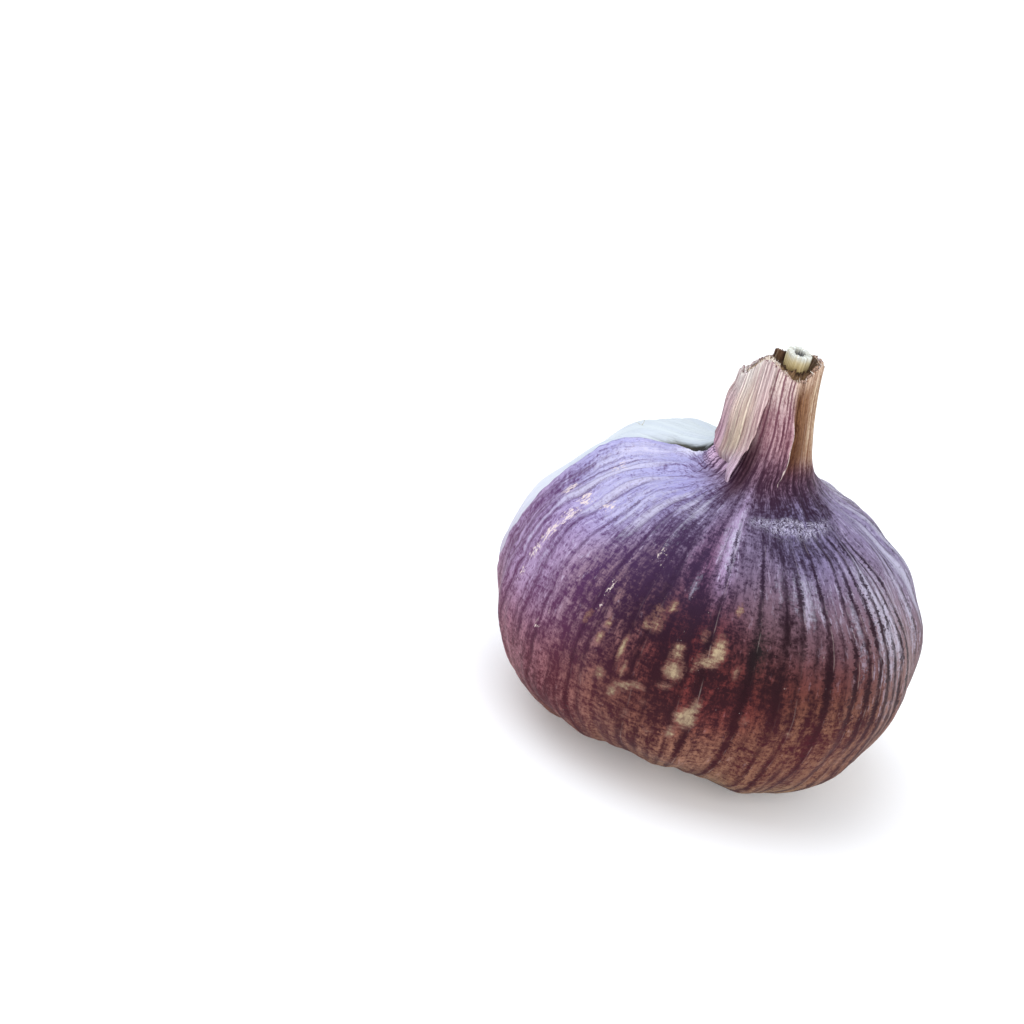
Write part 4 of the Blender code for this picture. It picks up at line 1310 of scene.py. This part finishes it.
# --------------------------------------------------------------------------
# Left sheath on the neck
# --------------------------------------------------------------------------
@dataclass
class NeckSheath:
    """Outermost dry leaf base, clasping the left of the neck."""

    thick: float = 0.26
    gap: float = 0.62
    columns: int = 260
    turns: tuple[float, float] = (112.0, 250.0)
    profile: Profile = ((9.2, 45.1), (8.0, 46.9), (7.2, 48.8), (6.75, 51.2), (6.4, 54.4), (6.1, 58.0),
                        (5.85, 61.9))
    # front edge: height and direction
    front_edge: Profile = ((45.2, 240), (48.3, 239.5), (49.3, 242), (51.6, 246), (55.0, 249), (58.0, 251),
                           (62.0, 253))

    def build(self, skin: PurpleSkin) -> bpy.types.Object:
        """Part-tube whose foot tucks under the shoulder's collar, with a lifted front edge and ragged top."""
        rows = catmull(list(self.profile), [8, 8, 8, 8, 7, 9])
        along = skin.distance(rows)
        heights = rows[:, 1:]
        share = np.linspace(0, 1, self.columns)[None, :]
        front = np.interp(rows[:, 1], *np.array(self.front_edge).T)
        front = front[:, None]
        turns = self.turns[0] + share * (front - self.turns[0])
        turns = turns + 0.35 * ripple(np.zeros(1), along, 7.0, 61) * share**4
        edge = bell((share - 1) * (front - self.turns[0]), 8.0)
        tuck = 47.2 - 2.4 * smooth(turns, 224, 240)
        push = -0.45 + (self.gap + 0.45) * smooth(heights, tuck, tuck + 1.3) - 0.28 * smooth(heights, 54, 60)
        push = push + 0.40 * edge * drop(heights, 49, 53) * smooth(heights, 45.2, 47.0)
        push = push + 0.10 * waves(turns, along, (18, 34), 62, 0.25, 18) * smooth(heights, 46.5, 49.5)
        valley = np.maximum(ribs(turns, along, 78, 151), 0.5 * ribs(turns, along, 140, 161))
        push = push - 0.20 * valley * smooth(heights, 46.5, 48.0)
        grid = skin.surface(turns, rows, along, push, False)
        top = smooth(heights, 59.0, 61.9)
        spike = 1.4 * around(turns, 182, 9.0) + 0.2 * around(turns, 197, 6.0) + 0.55 * smooth(turns, 206, 218)
        grid[..., 2] += top * (spike + 0.14 * waves(turns, along * 0, (14, 40), 64)
                               + 0.05 * waves(turns, along * 0, (70, 100), 65))
        middle = (heights[:-1] + heights[1:]) / 2
        clear = (turns[:-1, :-1] > 186) | (middle > 47.7)
        sheet = Sheet(grid, turns, along, wrap=False, keep=clear)
        hh = np.broadcast_to(heights, turns.shape)
        sheet.tones["ground"] = blend_washes([
            Wash((246, 238, 230), 205, 62, 60, 4, 1.5), Wash((222, 190, 190), 244, 60, 9, 5, 1.4),
            Wash((220, 190, 194), 196, 55, 16, 4, 1.3), Wash((232, 214, 192), 222, 55, 14, 5, 1.4),
            Wash((196, 156, 176), 192, 50, 16, 3, 1.5), Wash((206, 190, 164), 222, 50.5, 12, 3, 1.5),
            Wash((222, 196, 196), 238, 50.5, 6, 3, 1.3), Wash((196, 172, 196), 232, 47.4, 14, 1.8, 2.2),
            Wash((190, 160, 150), 140, 54, 40, 12, 0.8)], turns, hh)
        sheet.masks["rib"] = smooth(valley, 0.1, 0.8)
        obj = build_mesh("neck_sheath_leaf", sheet)
        thicken(obj, self.thick)
        finish = PaperFinish("neck_sheath_finish", (0.46, 0.30, 0.36), 0.42, 0.05, 12.0, 0.3,
                             rough=0.62, relief=0.0003)
        return dress(obj, "dry_leaf", ["neck_sheath"], finish.build())


# --------------------------------------------------------------------------
# Stalk stub, roots
# --------------------------------------------------------------------------
@dataclass
class StalkStub:
    """Cut flower stalk: pale hard ring round a pithy pit."""

    centre: tuple[float, float] = (1.0, -0.5)
    columns: int = 132
    profile: Profile = ((1.6, 54.0), (1.72, 58.0), (1.80, 61.0), (1.86, 63.7), (1.85, 64.18), (1.76, 64.30),
                        (1.40, 64.34), (1.00, 64.30), (0.90, 64.1), (0.82, 63.4), (0.3, 63.2))

    def build(self) -> bpy.types.Object:
        """Six-sided column of revolution with a thick flat ring, closed at both ends."""
        rows = catmull(list(self.profile), [3, 5, 8, 4, 4, 4, 4, 4, 4, 3])
        along = arc_length(rows)[:, None]
        turns = even_turns(self.columns, len(rows))
        inside = smooth(rows[:, :1], 0.9, 1.5)
        six_sided = 0.035 * np.cos(np.radians(turns) * 6 + 0.6)
        wob = 1 + inside * (six_sided + 0.010 * waves(turns, along * 0, (3, 9), 71))
        wob = wob + (1 - inside) * 0.10 * waves(turns, along * 0, (2, 6), 73)
        valley = ribs(turns, along, 30, 171, 0.3) * drop(rows[:, 1:], 61.8, 63.4) * inside
        r = rows[:, :1] * wob - 0.02 * valley
        top = smooth(rows[:, 1:], 62, 64)
        slant = 0.22 * np.cos(np.radians(turns - 120))
        z = rows[:, 1:] + top * (slant + 0.05 * waves(turns, along, (3, 12), 72))
        pith = smooth(along, float(along[28, 0]), float(along[40, 0]))
        z = z + (1 - inside) * 0.12 * ripple(turns, along * 12, 14.0, 74) * pith
        x, y = circle(r, turns)
        grid = np.stack([self.centre[0] + x, self.centre[1] + y, np.broadcast_to(z, turns.shape)], -1)
        sheet = Sheet(grid, turns, along, close_low=True, close_high=True)
        lift = np.broadcast_to(along, turns.shape)
        edge = float(along[int(np.argmax(rows[:, 1])), 0])
        all_round = 1e4
        sheet.tones["ground"] = blend_washes([
            Wash((232, 216, 168), 0, edge - 1.7, all_round, 0.9, 1.6),
            Wash((206, 180, 124), 0, edge - 2.8, all_round, 0.7, 1.2),
            Wash((96, 68, 42), 0, edge - 5.2, all_round, 2.0, 1.4),
            Wash((238, 242, 238), 0, edge - 0.1, all_round, 0.8, 3.0),
            Wash((86, 86, 92), 0, edge + 2.1, all_round, 0.9, 2.5),
        ], turns, lift)
        sheet.masks["rib"] = 0.8 * valley
        obj = build_mesh("stalk_stub", sheet)
        finish = PaperFinish("stalk_stub_finish", (0.62, 0.52, 0.34), 0.6, 0.08, 5.0, 0.25, 0.6, 0.0002)
        return dress(obj, "stalk", ["scape"], finish.build())


@dataclass
class NeckScraps:
    """Curled flake beside the stalk and the frayed fibres of the cut rim."""

    fibres: int = 150
    seed: int = 91

    def flake(self) -> bpy.types.Object:
        """Standing strip of brown leaf, rolled in at one side."""
        u, v = np.meshgrid(np.linspace(0, 1, 36), np.linspace(0, 1, 14))
        turn = 148 + 66 * u
        x = -2.8 + 2.1 * u + 0.35 * bell(u - 0.08, 0.16) * v
        y = 0.5 - 1.1 * bell(u - 0.05, 0.2) + 0.15 * np.sin(u * 9) + 0.06 * ripple(turn * 3, v * 9, 9.0, 92)
        crown = 63.75 - 0.35 * u + 0.10 * waves(turn, v * 0, (30, 80), 93)
        z = 60.8 + (crown - 60.8) * v
        sheet = Sheet(np.stack([x, y, z], -1), turn, v * 3.0, wrap=False)
        sheet.tones["ground"] = blend_washes([
            Wash((104, 70, 52), 150, 2.0, 7, 3, 1.4), Wash((222, 200, 176), 166, 2.2, 5, 2, 2.0),
            Wash((158, 122, 96), 186, 2.0, 16, 3, 1.2), Wash((96, 66, 48), 210, 1.5, 8, 3, 1.4),
        ], turn, v * 3.0)
        sheet.masks["rib"] = ribs(turn, v * 3.0, 130, 181)
        obj = build_mesh("curled_flake", sheet)
        thicken(obj, 0.16)
        finish = PaperFinish("curled_flake_finish", (0.46, 0.34, 0.28), 0.8, 0.3, 14.0, 0.6, 0.6, 0.0003)
        return dress(obj, "dry_leaf", ["neck_sheath"], finish.build())

    def fray(self) -> bpy.types.Object:
        """Short pale fibres sticking up from the rim, thickest at the front left."""
        rng = np.random.default_rng(self.seed)
        bunched = rng.random(self.fibres) < 0.6
        turn = np.where(bunched, rng.normal(228, 18, self.fibres), rng.uniform(0, FULL_TURN, self.fibres))
        reach = 5.05 + 0.5 * rng.random(self.fibres)
        rim = FORM.point(turn, reach, np.full(self.fibres, RIM_HEIGHT))
        rim[:, 2] -= 0.35
        inward = -np.stack([np.cos(np.radians(turn)), np.sin(np.radians(turn)), np.zeros(self.fibres)], -1)
        lean = np.array([0.0, 0.0, 1.0]) + 0.55 * inward + 0.5 * rng.standard_normal((self.fibres, 3))
        long = 0.45 + 0.5 * rng.random(self.fibres)
        thick = 0.05 + 0.06 * rng.random(self.fibres)
        obj = strands("rim_fray", rim, lean, long, thick, 0.7, 0.35, 0.3)
        finish = SolidFinish("rim_fray_finish", (206, 184, 164), (248, 242, 234), 1800.0)
        return dress(obj, "dry_leaf", ["neck_sheath"], finish.build())

    def thread(self) -> bpy.types.Object:
        """Loose pale fibre lying on the white skin by the tear."""
        base = FORM.point(np.array([153.0, 151.5]), np.array([19.0, 19.4]), np.array([40.0, 39.8]))
        base[:, 2] -= 0.1
        lean = np.array([[0.35, -0.4, 0.55], [-0.3, -0.5, 0.4]])
        obj = strands("loose_fibre", base, lean, np.array([1.6, 1.1]), np.array([0.05, 0.04]), 0.6, 0.35, 0.4)
        finish = SolidFinish("loose_fibre_finish", (170, 160, 120), (214, 206, 178), 1800.0)
        return dress(obj, "dry_leaf", ["inner_bulb"], finish.build())

    def build(self) -> list[bpy.types.Object]:
        """Flake, fray and thread."""
        return [self.flake(), self.fray(), self.thread()]


@dataclass
class RootPlate:
    """Corky disc under the bulb with trimmed roots."""

    columns: int = 160
    profile: Profile = ((0.6, 1.9), (2.6, 1.75), (4.4, 1.95), (5.7, 2.5), (6.15, 3.2), (5.8, 3.9), (3.0, 4.1),
                        (0.6, 4.1))
    roots: int = 70
    seed: int = 81

    def disc(self) -> bpy.types.Object:
        """Lumpy turned disc."""
        rows = catmull(list(self.profile), [5, 6, 6, 5, 5, 5, 3])
        along = arc_length(rows)[:, None]
        turns = even_turns(self.columns, len(rows))
        lump = 0.12 * waves(turns, along, (6, 30), 82) * smooth(rows[:, :1], 0.5, 3)
        r = rows[:, :1] + lump * smooth(rows[:, 1:], 2.2, 3.2)
        z = rows[:, 1:] + lump * drop(rows[:, 1:], 2.2, 3.2)
        grid = np.stack([*circle(r, turns), z * np.ones_like(r)], -1)
        sheet = Sheet(grid, turns, along, close_low=True, close_high=True)
        obj = build_mesh("root_disc", sheet)
        finish = SolidFinish("cork_finish", (58, 40, 26), (142, 112, 78), 1500.0, (1.0, 1.0, 1.0))
        return dress(obj, "cork", ["root_plate"], finish.build())

    def stubs(self) -> bpy.types.Object:
        """Short roots in a spiral, each a six-sided tapering tube."""
        rng = np.random.default_rng(self.seed)
        k = np.arange(self.roots)
        reach = 5.6 * np.sqrt((k + 0.6) / self.roots)
        turn = k * GOLDEN_ANGLE + 0.2 * rng.standard_normal(self.roots)
        base = np.stack([reach * np.cos(turn), reach * np.sin(turn), np.full(self.roots, 2.6)], -1)
        lean_x = 0.5 * np.cos(turn) + 0.3 * rng.standard_normal(self.roots)
        lean_y = 0.5 * np.sin(turn) + 0.3 * rng.standard_normal(self.roots)
        lean = np.stack([lean_x, lean_y, -np.ones(self.roots)], -1)
        long = 1.3 + 0.7 * rng.random(self.roots)
        thick = 0.34 + 0.12 * rng.random(self.roots)
        obj = strands("root_stubs", base, lean, long, thick)
        finish = SolidFinish("root_stub_finish", (96, 76, 52), (196, 172, 134), 2200.0)
        return dress(obj, "cork", ["root_plate"], finish.build())


# --------------------------------------------------------------------------
# Stage
# --------------------------------------------------------------------------
@dataclass
class Stage:
    """Floor, light and camera."""

    elevation: float = 24.0
    roll: float = 16.0
    sensor: float = 36.0
    lens: float = 84.375
    distance: float = 368.0
    target: tuple[float, float, float] = (0.0, 0.0, 21.0)
    aside: tuple[float, float] = (30.207, 14.26)   # the bulb lies this far right of and below the middle
    sky: tuple[float, float, float] = (0.93, 0.96, 1.0)
    sky_strength: float = 0.92
    floor_half: float = 3.0
    floor_colour: tuple[float, float, float] = (0.84, 0.84, 0.85)
    floor_glow: float = 0.16

    def camera(self) -> None:
        """Camera at the front, tilted down, rolled and aimed beside the bulb."""
        p, rh = math.radians(self.elevation), math.radians(self.roll)
        d = np.array([0, math.cos(p), -math.sin(p)])
        side, up = np.array([1.0, 0, 0]), np.array([0, math.sin(p), math.cos(p)])
        right = math.cos(rh) * side + math.sin(rh) * up
        top = -math.sin(rh) * side + math.cos(rh) * up
        aim = np.array(self.target) + AXIS - self.aside[0] * right + self.aside[1] * top
        place = aim - d * self.distance
        data = bpy.data.cameras.new("camera")
        data.sensor_width, data.lens = self.sensor, self.lens
        data.clip_start, data.clip_end = 0.01, 10.0
        cam = link("camera", data)
        basis = Matrix((tuple(right), tuple(top), tuple(-d))).transposed()
        cam.matrix_world = Matrix.Translation(Vector(place * MM)) @ basis.to_4x4()
        bpy.context.scene.camera = cam

    def light(self, name: str, place: tuple[float, float, float], size: float, power: float,
              colour: tuple[float, float, float]) -> None:
        """Square soft light aimed at the bulb."""
        data = bpy.data.lights.new(name, "AREA")
        data.size, data.energy, data.color = size, power, colour
        lamp = link(name, data)
        lamp.location = place
        lamp.rotation_euler = (Vector((0, 0, 0.02)) - Vector(place)).to_track_quat("-Z", "Y").to_euler()

    def build(self) -> None:
        """Everything round the bulb."""
        scene = bpy.context.scene
        scene.view_settings.view_transform = "Standard"
        mesh = bpy.data.meshes.new("floor")
        half = self.floor_half
        corners = [(-half, -half, 0), (half, -half, 0), (half, half, 0), (-half, half, 0)]
        mesh.from_pydata(corners, [], [(0, 1, 2, 3)])
        floor = link("floor", mesh)
        g = Graph("floor_finish")
        g.shader.inputs["Emission Color"].default_value = (1.0, 1.0, 1.0, 1.0)
        floor.data.materials.append(g.finish(self.floor_colour, 0.9, Specular_IOR_Level=0.1,
                                             Emission_Strength=self.floor_glow))
        world = bpy.data.worlds.new("sky")
        world.use_nodes = True
        colour, strength = world.node_tree.nodes["Background"].inputs[:2]
        colour.default_value, strength.default_value = (*self.sky, 1.0), self.sky_strength
        scene.world = world
        self.light("sky_panel", (-0.28, 0.0, 0.72), 0.80, 4.1, (0.90, 0.95, 1.0))
        self.light("front_fill", (0.25, -0.6, 0.35), 0.6, 2.2, (1.0, 0.97, 0.93))
        self.camera()


def main() -> None:
    """Build every piece in order."""
    logging.basicConfig(level=logging.INFO)
    skin = PurpleSkin()
    skin.build()
    CloveSkin().build(skin)
    InnerNeck().build(skin)
    NeckSheath().build(skin)
    StalkStub().build()
    NeckScraps().build()
    plate = RootPlate()
    plate.disc()
    plate.stubs()
    Stage().build()


if __name__ == "__main__":
    main()
